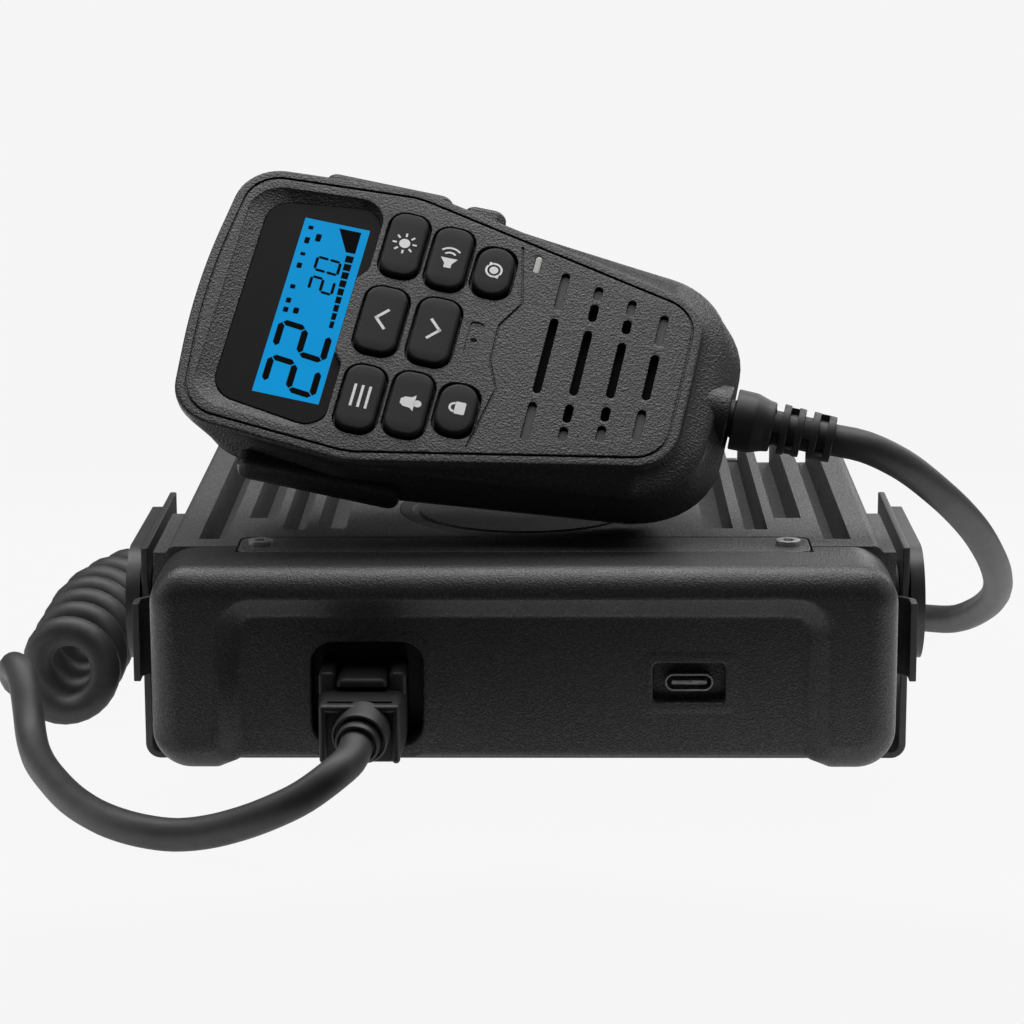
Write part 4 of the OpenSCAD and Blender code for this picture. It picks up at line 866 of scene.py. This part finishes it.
class RADIO_OT_plug(bpy.types.Operator):
    """Strain relief, plug boot with its bordered front, collar and finger latch."""

    bl_idname = "radio.plug"
    bl_label = "Plug and strain relief"

    def execute(self, context):
        m, o = handset_pose(settings(context.scene.radio_handset))
        s, end, core = 83.2, RELIEF_END, 3.35
        b = Build()
        sleeve = [(3.6, s - 7), (3.6, s + 0.3), (5.9, s + 0.3), (5.8, s + 4.2), (5.0, s + 6.6),
                  (4.8, s + 8.0), (core, s + 8.1), (core, end - 0.6), (3.0, end - 0.5)]
        b.rings(revolved(softened(sleeve, 0.4)), (True, True))
        ribs = [(s + 9.5, s + 10.9, 4.9), (s + 12.4, s + 13.8, 4.75), (s + 15.3, s + 16.7, 4.65),
                (s + 18.3, end, 4.5)]
        for z0, z1, r in ribs:
            rib = [(core - 0.1, z0), (r, z0), (r - 0.06, z1), (core - 0.1, z1)]
            b.rings(revolved(softened(rib, 0.22)))
        gaps = [(s + 8.0, s + 9.6, 110), (s + 10.8, s + 12.5, 20), (s + 13.7, s + 15.4, 110),
                (s + 16.6, s + 18.4, 20)]
        for z0, z1, middle in gaps:
            for side in (0, 180):
                bridge(b, core - 0.1, 4.5, z0, z1, middle + side, 24.0)
        b.placed(turn_about("x", 90), CORD_AXIS).placed(m, o)
        b.piece("cord_relief", "soft", "handset", ["strain_relief"], 70)

        boot = Build()
        upright = np.array([[1, 0, 0], [0, 0, -1], [0, 1, 0]])

        def block(cx, cz, w, h, r, y0, y1, edge):
            """Bar from y1 forwards to y0 with its front edge rounded."""
            piece = Build()
            pillow(piece, moved_rect(cx, cz, w, h, r), -y1, -y0, edge, 0.0, min(w, h) / 2 - 0.1)
            boot.join(piece.placed(upright, (0, 0, 0)))

        # Middle and underside of the boot, its height, its width and the width of its nose.
        jx, z0, h, w, nose = -29.9, 14.5, 11.1, 16.2, 14.8
        levels = [(-55.6, w, 0.0), (-67.6, w, 0.0), (-76.2, nose + 0.25, 0.0), (-76.6, nose - 0.1, -0.1),
                  (-76.8, nose - 0.7, -0.4)]
        boot.rings([at_depth(moved_rect(jx, z0 + h / 2, wide, h, 1.6)(g), y) for y, wide, g in levels],
                   (False, True))
        for e in (-1, 1):
            block(jx + e * 6.55, z0 + h + 1.0, 3.1, 5.0, 1.0, -67.6, -55.6, 0.6)
            block(jx + e * (nose / 2 - 0.75), z0 + h / 2, 1.5, h, 0.74, -78.0, -75.0, 0.7)
        block(jx, z0 + h - 0.75, nose, 1.5, 0.74, -78.0, -75.0, 0.7)
        collar = Build()
        profile = [(5.2, -3), (5.2, 1.9), (4.75, 2.05), (4.6, 1.1), (4.3, 1.1), (4.1, 1.5),
                   (4.1, COLLAR - 0.1), (3.6, COLLAR), (3.4, COLLAR - 0.8), (2.9, COLLAR - 0.8)]
        collar.rings(revolved(softened(profile, 0.28)), (True, True))
        side = np.cross([0, 0, 1], EXIT_DIR)
        side = side / np.linalg.norm(side)
        boot.join(collar.placed(np.column_stack([side, np.cross(EXIT_DIR, side), EXIT_DIR]), BOOT_EXIT))
        boot.piece("boot", "soft", "plug", ["plug_boot"], 60)

        latch = Build()

        def tongue(g):
            """Plan of the latch: straight front with small corners, half-round back."""
            wide, r = 4.7 + g, 0.9
            a, c = np.radians(np.linspace(0, 180, 25)), np.radians(np.linspace(0, 90, 6))
            low = -68.6 - g + r
            return np.concatenate([np.stack([jx + wide * np.cos(a), -60.3 + wide * np.sin(a)], 1),
                                   np.stack([jx - wide + r - r * np.cos(c), low - r * np.sin(c)], 1),
                                   np.stack([jx + wide - r + r * np.sin(c), low - r * np.cos(c)], 1)])
        pillow(latch, tongue, z0 + h + 0.95, 28.2, 1.15, 0.2, 2.6)
        latch.piece("latch_pad", "soft", "latch", ["plug_latch"], 60)
        return {"FINISHED"}


# Rounded lip under the sunk panel: its radius, and how far it is lifted over the bezel's underside.
LIP_RADIUS, LIP_RISE = 2.6, 2.0
# Jack pocket and charging recess: x, z, width, height, corner radius, depth.
OPENINGS = ((-29.2, 23.7, 20.7, 19.8, 4.0, 8.0), (30.9, 25.8, 13.5, 7.5, 1.0, 2.6))
TRIM_HALF, TRIM_OVER_BEZEL, TRIM_LENGTH = 54.5, 4.5, 12.2


class RADIO_OT_bezel(bpy.types.Operator):
    """Front bezel: rings inset from the outline, rounded by r - sqrt(r^2 - (r - d)^2), pressed back to the
    sunk panel's depth; jack pocket and charging recess lined with rounded lips."""

    bl_idname = "radio.bezel"
    bl_label = "Front bezel"

    def execute(self, context):
        p = settings(context.scene.radio_bezel)
        mid_z = p.ground + p.height / 2
        top = p.ground + p.height
        seam = p.front + p.depth
        strip_y = seam - TRIM_OVER_BEZEL

        def ring(inset):
            """Outline inset by a distance, with fixed counts along its straights and corners."""
            w, h = p.width / 2 - inset, max(p.height / 2 - inset, 1e-3)
            r = max(p.corner - inset, 0.02 if h > 0.05 else 1e-4)
            trim_ends = [-0.8722, -0.8700, 0.8700, 0.8722]
            across = np.sort(np.concatenate([np.linspace(-1, 1, 150), trim_ends])) * (w - r)
            upright = np.linspace(-1, 1, 42)[1:-1] * (h - r)
            a = np.linspace(0, np.pi / 2, 14)
            c, s = r * np.cos(a), r * np.sin(a)
            parts = [np.stack([across, np.full(len(across), -h)], 1),
                     np.stack([w - r + s, -h + r - c], 1)[1:-1],
                     np.stack([np.full(len(upright), w), upright], 1),
                     np.stack([w - r + c, h - r + s], 1),
                     np.stack([across[::-1], np.full(len(across), h)], 1)[1:-1],
                     np.stack([-w + r - s, h - r + c], 1),
                     np.stack([np.full(len(upright), -w), -upright], 1),
                     np.stack([-w + r - c, -h + r - s], 1)[:-1]]
            return np.concatenate(parts) + [0, mid_z]

        def sunk(x, z):
            """Depth of the panel: the bevel's eased slope inside a rounded outline open below."""
            half, upper, r = p.panel + p.bevel, top - 9.7 + p.bevel, 7.3
            dx, dz = np.abs(x) - (half - r), z - (upper - r)
            reach = np.hypot(np.maximum(dx, 0), np.maximum(dz, 0)) + np.minimum(np.maximum(dx, dz), 0) - r
            t = np.clip(-reach / p.bevel, 0, 1)
            soft = 0.08
            u = np.clip((t - soft) / (1 - 2 * soft), -soft, 1 + soft)
            scale = 4 * soft * (1 - 2 * soft)
            round_in, round_out = t ** 2 / scale, (1 - t) ** 2 / scale
            return p.sink * np.where(t < 2 * soft, round_in, np.where(t > 1 - 2 * soft, 1 - round_out, u))

        def panel_share(x):
            """Share of the panel across: 0 outside its bevel, 1 over its floor."""
            return np.clip((p.panel + p.bevel - np.abs(x)) / p.bevel, 0, 1)

        insets = np.concatenate([p.edge * (1 - np.cos(np.linspace(0, np.pi / 2, 15))),
                                 np.linspace(p.edge + 0.35, p.height / 2, 42)])
        rings = []
        for d in insets:
            xz = ring(d)
            k = max(p.edge - d, 0)
            y = p.front + p.edge - math.sqrt(max(p.edge ** 2 - k ** 2, 0))
            lip_in = np.clip(LIP_RADIUS - (xz[:, 1] - p.ground), 0, LIP_RADIUS)
            lip_back = panel_share(xz[:, 0]) * (LIP_RADIUS - np.sqrt(LIP_RADIUS ** 2 - lip_in ** 2))
            y = np.maximum(y, p.front + sunk(xz[:, 0], xz[:, 1]) + lip_back)
            rings.append(at_depth(xz, y))
        back = [seam - 0.5, strip_y + 0.01, strip_y - 0.16, strip_y - 2, seam - 9, seam - 12]
        sides = [at_depth(ring(0.5), seam)] + [at_depth(ring(0.0), y) for y in back]
        for s in sides:
            flat = (np.abs(s[:, 0]) <= TRIM_HALF + 0.01) & (s[:, 1] >= strip_y) & (s[:, 2] > top - 1)
            s[flat, 2] = top - 1.3
            raised = (s[:, 2] < p.ground + 0.6) & (np.abs(s[:, 0]) < p.panel + p.bevel)
            s[raised, 2] += LIP_RISE * panel_share(s[raised, 0])
        for s in rings:
            share = np.clip((mid_z - s[:, 2]) / (mid_z - p.ground), 0, 1)
            s[:, 2] += LIP_RISE * panel_share(s[:, 0]) * share ** 6
        b = Build()
        b.rings(sides + rings)
        panel = p.front + p.sink
        quads = np.array(b.faces)
        x, y, z = np.moveaxis(b.points[quads], 2, 0)
        gone = np.zeros(len(quads), bool)
        for cx, cz, w, h, _, _ in OPENINGS:
            gone |= ((np.abs(x - cx) < w / 2 + 0.15).any(1) & (np.abs(z - cz) < h / 2 + 0.15).any(1)
                     & (np.abs(x.mean(1) - cx) < w / 2 + 0.8) & (np.abs(z.mean(1) - cz) < h / 2 + 0.8)
                     & (y.mean(1) < panel + 0.5))
        b.faces = quads[~gone].tolist()
        for cx, cz, w, h, r, depth in OPENINGS:
            levels = [(2.4, 0.2), (2.2, -0.02), (0.5, -0.02), (0.25, 0.05), (0.08, 0.2), (0.0, 0.5),
                      (0.0, depth)]
            b.rings([at_depth(rounded(w + 2 * g, h + 2 * g, min(r + g, r + 0.5)) + [cx, cz], panel + behind)
                     for g, behind in levels], (False, depth < 5))
        b.piece("bezel", "bezel", "radio", ["front_bezel"], 50, 1e-5)

        strip = Build()
        plan = moved_rect(0, strip_y + 6.25, 2 * TRIM_HALF - 0.3, TRIM_LENGTH, 2.5)
        pillow(strip, plan, top - 1.2, top, 0.3, 0.0, 1.5)
        strip.piece("trim", "cast", "radio", ["trim_strip"], 50)
        return {"FINISHED"}


# Line that the curls go round: its front end, straight length, bend radius and the first curl's angle.
COIL_FRONT = np.array([-94.5, -4.0])
COIL_STRAIGHT, COIL_BEND, FRONT_ANGLE = 45.0, 60.0, 215.0
# Points of the two straight tails of the cord, and a point on each tail where a bend would end; nothing here
# bends the tails.
HANDSET_ROUTE = (
    (72.4, -33.5, 61.5), (81, -26, 54), (89.5, -12, 44), (95.5, 3, 34), (99, 18, 25.5), (100, 32, 18.5),
    (98.5, 46, 12), (95, 59, 6.8), (89.5, 70.5, 4.1), (81.5, 78, 3.1), (71.5, 81.6, 3.1), (62, 82.6, 3.1),
    (53, 82.8, 3.1), (44.5, 83, 3.1), (37, 84.4, 3.1), (31.2, 88.6, 3.1),
)
PLUG_ROUTE = (
    (-33.6, -90.6, 16.6), (-39.2, -92.6, 12.9), (-45.3, -91.8, 9.6), (-51.1, -90, 6.9), (-57.2, -87.8, 4.7),
    (-63.2, -85.4, 3.4), (-69.5, -82.2, 3.1), (-76.4, -76.4, 3.1), (-83.8, -65.7, 3.1), (-90.5, -51, 3.1),
    (-95.8, -36, 3.3), (-98, -28.4, 5.1), (-99.3, -23, 8.3), (-100.5, -18.6, 12), (-102, -14.6, 14.5),
    (-103.8, -10.8, 14.7), (-104.6, -7.4, 12.5),
)
HANDSET_BENDS_TO, PLUG_BENDS_TO = np.array((98.5, 46, 12)), np.array((-76.4, -76.4, 3.1))


def curve_through(points, step=1.5):
    """Centripetal Catmull-Rom curve through points, sampled about every step millimetres."""
    p = np.asarray(points, float)
    p = np.vstack([2 * p[0] - p[1], p, 2 * p[-1] - p[-2]])
    out = [p[1]]
    for a, b, c, d in zip(p, p[1:], p[2:], p[3:]):
        t0, t1, t2, t3 = np.cumsum([0.0] + [np.linalg.norm(v) ** 0.5 for v in (b - a, c - b, d - c)])
        count = max(3, int(np.linalg.norm(c - b) / step - 1e-6))
        u = np.linspace(t1, t2, count + 1)[1:, None]
        a1 = (t1 - u) / (t1 - t0) * a + (u - t0) / (t1 - t0) * b
        a2 = (t2 - u) / (t2 - t1) * b + (u - t1) / (t2 - t1) * c
        a3 = (t3 - u) / (t3 - t2) * c + (u - t2) / (t3 - t2) * d
        b1 = (t2 - u) / (t2 - t0) * a1 + (u - t0) / (t2 - t0) * a2
        b2 = (t3 - u) / (t3 - t1) * a2 + (u - t1) / (t3 - t1) * a3
        out.append((t2 - u) / (t2 - t1) * b1 + (u - t1) / (t2 - t1) * b2)
    return np.vstack(out)


def tube(path, radius, sides, first, last):
    """Round tube along a path: circles in frames carried along without twist, ends square to
    the directions first and last."""
    d = np.gradient(path, axis=0)
    d /= np.linalg.norm(d, axis=1)[:, None]
    d[0] = first
    d[-1] = last
    n = np.cross(d[0], [0.0, 0.0, 1.0])
    n /= np.linalg.norm(n)
    a = np.linspace(0, 2 * np.pi, sides, endpoint=False)
    rings = []
    for c, t in zip(path, d):
        n = n - (n @ t) * t
        n /= np.linalg.norm(n)
        k = np.cross(t, n)
        rings.append(c + radius * (np.outer(np.cos(a), n) + np.outer(np.sin(a), k)))
    return rings


def coil_path(p):
    """Middle line of the curly stretch: a helix round a line that runs back, round a corner and
    across, with a short straight lead at each end. Also gives the two leads' directions."""
    r, z = p.curl_radius, p.curl_radius + p.diameter / 2
    last = p.curls + (270 - FRONT_ANGLE) / 360
    points_a_curl = 28
    t = np.linspace(0, last, int(last * points_a_curl) + 1)
    settle = np.where(t < p.loose_curls, t - t * t / (2 * p.loose_curls), p.loose_curls / 2)
    s = p.step * t + (p.loose_step - p.step) * settle
    arc = COIL_BEND * math.pi / 2
    a = np.clip((s - COIL_STRAIGHT) / COIL_BEND, 0, math.pi / 2)
    heading = np.stack([np.sin(a), np.cos(a), np.zeros_like(a)], 1)
    corner = np.array([COIL_FRONT[0] + COIL_BEND, COIL_FRONT[1] + COIL_STRAIGHT, z])
    middle = corner + COIL_BEND * np.stack([-np.cos(a), np.sin(a), np.zeros_like(a)], 1)
    middle[:, 1] += np.minimum(s - COIL_STRAIGHT, 0)
    middle[:, 0] += np.maximum(s - COIL_STRAIGHT - arc, 0)
    phi = np.radians(FRONT_ANGLE + 360 * t)
    out = np.stack([np.cos(phi) * heading[:, 1], -np.cos(phi) * heading[:, 0], np.sin(phi)], 1)
    path = middle + r * out
    start = path[0] - path[1]
    start /= np.linalg.norm(start)
    end = path[-1] - path[-2]
    end[2] = 0.0
    end /= np.linalg.norm(end)
    lead = np.linspace(1, 0.2, 4)[:, None] * p.diameter
    return np.vstack([path[0] + lead * start, path, path[-1] + lead[::-1] * end]), start, end


class RADIO_OT_cords(bpy.types.Operator):
    """Cord in three pieces: tail at the handset, curly stretch, tail at the plug."""

    bl_idname = "radio.cords"
    bl_label = "Cords"

    def execute(self, context):
        p = settings(context.scene.radio_cord)
        m, o = handset_pose(settings(context.scene.radio_handset))
        r = p.diameter / 2
        coil, start, end = coil_path(p)
        tip = o + m @ [0, -RELIEF_END, CORD_AXIS[2]]
        away = m @ [0, -1, 0]
        near = curve_through([tip, tip + 6 * away, *HANDSET_ROUTE, coil[-1] + 0.01 * end])
        collar = BOOT_EXIT + COLLAR * EXIT_DIR
        far = curve_through([collar, collar + 4.6 * EXIT_DIR, *PLUG_ROUTE, coil[0] + 0.01 * start])
        made = {}
        for name, node, path, first, last in (
                ("cord_near_handset", "cord_handset_tail", near, away, -end),
                ("cord_curls", "curly_cord", coil, -start, end),
                ("cord_near_plug", "cord_plug_tail", far, EXIT_DIR, -start)):
            b = Build()
            b.rings(tube(path, r, p.sides, first, last), (True, True))
            made[name] = b.piece(name, "cord", None, [node], 70)
            if name == "cord_curls":
                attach(made[name], "radio")
        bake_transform(made["cord_near_handset"], "handset", "radio", tip * MM, HANDSET_BENDS_TO * MM)
        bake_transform(made["cord_near_plug"])

        def length(path):
            """Length of a path in metres."""
            return float(np.linalg.norm(np.diff(path, axis=0), axis=1).sum()) * MM
        tip * MM
        length(near)
        coil[-1] * MM
        length(coil)
        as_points(coil[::-1] * MM)
        coil[0] * MM
        length(far)
        return {"FINISHED"}


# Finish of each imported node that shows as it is, and the radius of its softened edges.
NODE_FINISH = {
    "trim_screws": "dark_steel", "heatsink_chassis": "cast", "round_plate": "bezel",
    "bottom_cover": "sheet", "cover_screws": "dark_steel", "main_board": "board", "shield_can": "steel",
    "power_transistors": "component", "mic_jack": "component", "usb_socket": "steel",
    "usb_board": "board", "antenna_socket": "steel", "antenna_core": "white",
    "power_inlet": "component", "speaker_jack": "component", "mount_bracket": "sheet",
    "left_clamp_lever": "sheet", "right_clamp_lever": "sheet", "left_pivot_bolt": "dark_steel",
    "right_pivot_bolt": "dark_steel", "friction_washers": "soft", "left_release_tab": "sheet",
    "right_release_tab": "sheet", "left_tab_rivets": "dark_steel", "right_tab_rivets": "dark_steel",
    "keypad_membrane": "soft", "handset_board": "board", "handset_speaker": "component",
    "mic_capsule": "steel", "hang_stud": "steel", "shell_screws": "dark_steel", "modular_plug": "clear",
}
SOFT_EDGE = {
    "heatsink_chassis": 0.45, "mount_bracket": 0.25, "left_clamp_lever": 0.35, "right_clamp_lever": 0.35,
    "left_release_tab": 0.2, "right_release_tab": 0.2, "round_plate": 0.2, "trim_screws": 0.25,
}


class RADIO_OT_finishes(bpy.types.Operator):
    """Finishes of the pieces that show as they were packed, with softened edges where light catches."""

    bl_idname = "radio.finishes"
    bl_label = "Finishes"

    def execute(self, context):
        for node, finish in NODE_FINISH.items():
            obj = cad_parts[node]
            obj.data.materials.clear()
            obj.data.materials.append(FINISH[finish])
            if node in SOFT_EDGE:
                weld = obj.modifiers.new("weld", "WELD")
                weld.merge_threshold = 1e-6
                bevel = obj.modifiers.new("bevel", "BEVEL")
                bevel.width = SOFT_EDGE[node] * MM
                bevel.segments = 3
                bevel.limit_method = "ANGLE"
                bevel.angle_limit = math.radians(35)
                bevel.harden_normals = False
                weighted = obj.modifiers.new("weighted", "WEIGHTED_NORMAL")
                weighted.weight = 100
        return {"FINISHED"}


class RADIO_OT_stage(bpy.types.Operator):
    """Pale floor, white surround, soft lamps and the camera at the photograph's angle."""

    bl_idname = "radio.stage"
    bl_label = "Stage"

    def execute(self, context):
        scene = context.scene
        p = settings(scene.radio_stage)
        pitch, yaw, roll = np.radians([p.pitch, p.yaw, p.roll])
        cp, sp, cy, sy = np.cos(pitch), np.sin(pitch), np.cos(yaw), np.sin(yaw)
        look = np.array([sy * cp, cy * cp, -sp])
        right = np.array([cy, -sy, 0.0])
        up = np.cross(right, look)
        cr, sr = np.cos(roll), np.sin(roll)
        right, up = cr * right + sr * up, -sr * right + cr * up
        camera = bpy.data.objects.new("camera", bpy.data.cameras.new("camera"))
        scene.collection.objects.link(camera)
        camera.matrix_world = stand(right, up, -look, p.camera)
        camera.data.lens = p.lens
        camera.data.sensor_width = 36.0
        camera.data.clip_start, camera.data.clip_end = 0.01, 50.0
        scene.camera = camera
        scene.view_settings.view_transform = "Standard"

        floor = Build()
        floor.flat([(-4000, -3000, 0), (4000, -3000, 0), (4000, 6000, 0), (-4000, 6000, 0)])
        s = material("floor")
        seen = s.node("ShaderNodeLightPath", out=0)
        spot = s.place()
        aside = s.node("ShaderNodeSeparateXYZ", {0: spot}, out=0).math("ABSOLUTE")
        along = s.node("ShaderNodeSeparateXYZ", {0: spot}, out=1)
        # Painted light on the floor: a band just in front of the bezel glows and lights the radio, seen in
        # reflections but hidden from the camera by the white shown there; it stands in for light bounced off
        # the table into the panel's bevel and lip. Elsewhere the floor stays dark for everything but the
        # camera.
        front = (along + aside * 0.3).between(-106.0, -84.0)
        near = front * aside.between(320.0, 230.0) * along.between(260.0, 160.0)
        cloud = s.noise(0.004, 1.0).between(0.3, 0.7, 0.95, 1.0)
        floor_glow = s.mix(near * cloud, grey(0.02), grey(0.55))
        lamp_lit_and_glowing = s.node("ShaderNodeBsdfPrincipled", {
            "Base Color": floor_glow, "Roughness": 0.9, "Specular IOR Level": 0.1,
            "Emission Color": floor_glow, "Emission Strength": 0.95})
        white = s.node("ShaderNodeEmission", {"Color": (0.93, 0.93, 0.935, 1.0), "Strength": 1.0})
        FINISH["floor"] = s.finish(s.node("ShaderNodeMixShader", {0: seen * 0.985, 1: lamp_lit_and_glowing, 2: white}))
        ground = floor.piece("floor", "floor", None)

        sky = Shade(bpy.data.worlds.new("surround"))
        shares = {
            0: sky.node("ShaderNodeLightPath", out=0),
            1: sky.node("ShaderNodeBackground", {"Color": (0.03, 0.03, 0.031, 1.0)}),
            2: sky.node("ShaderNodeBackground", {"Color": (0.97, 0.97, 0.975, 1.0)}),
        }
        scene.world = sky.finish(sky.node("ShaderNodeMixShader", shares), "ShaderNodeOutputWorld")

        # Name, place and aim in millimetres, size in metres, watts.
        lamps = (
            ("lamp_top", (50.0, -200.0, 850.0), (0.0, -30.0, 60.0), (0.5, 0.42), 1.6),
            ("lamp_over", (0.0, 270.0, 850.0), (0.0, 0.0, 60.0), (1.4, 0.45), 9.5),
            ("lamp_back", (480.0, 800.0, 400.0), (0.0, 0.0, 50.0), (0.7, 0.45), 2.2),
            ("lamp_left", (-800.0, 80.0, 330.0), (-30.0, -30.0, 50.0), (0.5, 0.7), 0.9),
            ("lamp_right", (800.0, 80.0, 330.0), (30.0, -30.0, 50.0), (0.5, 0.7), 0.6),
        )
        for name, place, aim, size, power in lamps:
            data = bpy.data.lights.new(name, "AREA")
            data.shape = "RECTANGLE"
            data.size, data.size_y = size
            data.energy = power * p.light
            lamp = bpy.data.objects.new(name, data)
            scene.collection.objects.link(lamp)
            lamp.visible_camera = False
            back = np.array(place) - np.array(aim)
            back /= np.linalg.norm(back)
            across = np.cross([0.0, 0.0, 1.0], back)
            across /= np.linalg.norm(across)
            lamp.matrix_world = stand(across, np.cross(back, across), back, place)
        return {"FINISHED"}


class RADIO_PT_panel(bpy.types.Panel):
    """Settings of the radio."""

    bl_idname = "RADIO_PT_panel"
    bl_label = "Two-way radio"
    bl_space_type = "VIEW_3D"
    bl_region_type = "UI"
    bl_category = "Radio"

    def draw(self, context):
        for name in GROUPS:
            group = getattr(context.scene, name)
            box = self.layout.box()
            for key in group.__annotations__:
                box.prop(group, key)
        for step in STEPS:
            self.layout.operator(f"radio.{step}")


STEPS = ("materials", "handset", "keys", "display", "plug", "bezel", "cords", "finishes", "stage")
GROUPS = {
    "radio_handset": RadioHandset, "radio_cord": RadioCord, "radio_bezel": RadioBezel,
    "radio_finish": RadioFinish, "radio_stage": RadioStage,
}
CLASSES = (
    *GROUPS.values(), RADIO_OT_materials, RADIO_OT_handset, RADIO_OT_keys, RADIO_OT_display, RADIO_OT_plug,
    RADIO_OT_bezel, RADIO_OT_cords, RADIO_OT_finishes, RADIO_OT_stage, RADIO_PT_panel,
)


def register():
    """Adds the classes and the scene's settings."""
    for c in CLASSES:
        bpy.utils.register_class(c)
    for name, group in GROUPS.items():
        setattr(bpy.types.Scene, name, PointerProperty(type=group))


def unregister():
    """Takes the classes and the settings out again."""
    for name in GROUPS:
        delattr(bpy.types.Scene, name)
    for c in reversed(CLASSES):
        bpy.utils.unregister_class(c)


def main():
    """Builds everything."""
    register()
    for step in STEPS:
        getattr(bpy.ops.radio, step)()


if __name__ == "__main__":
    main()
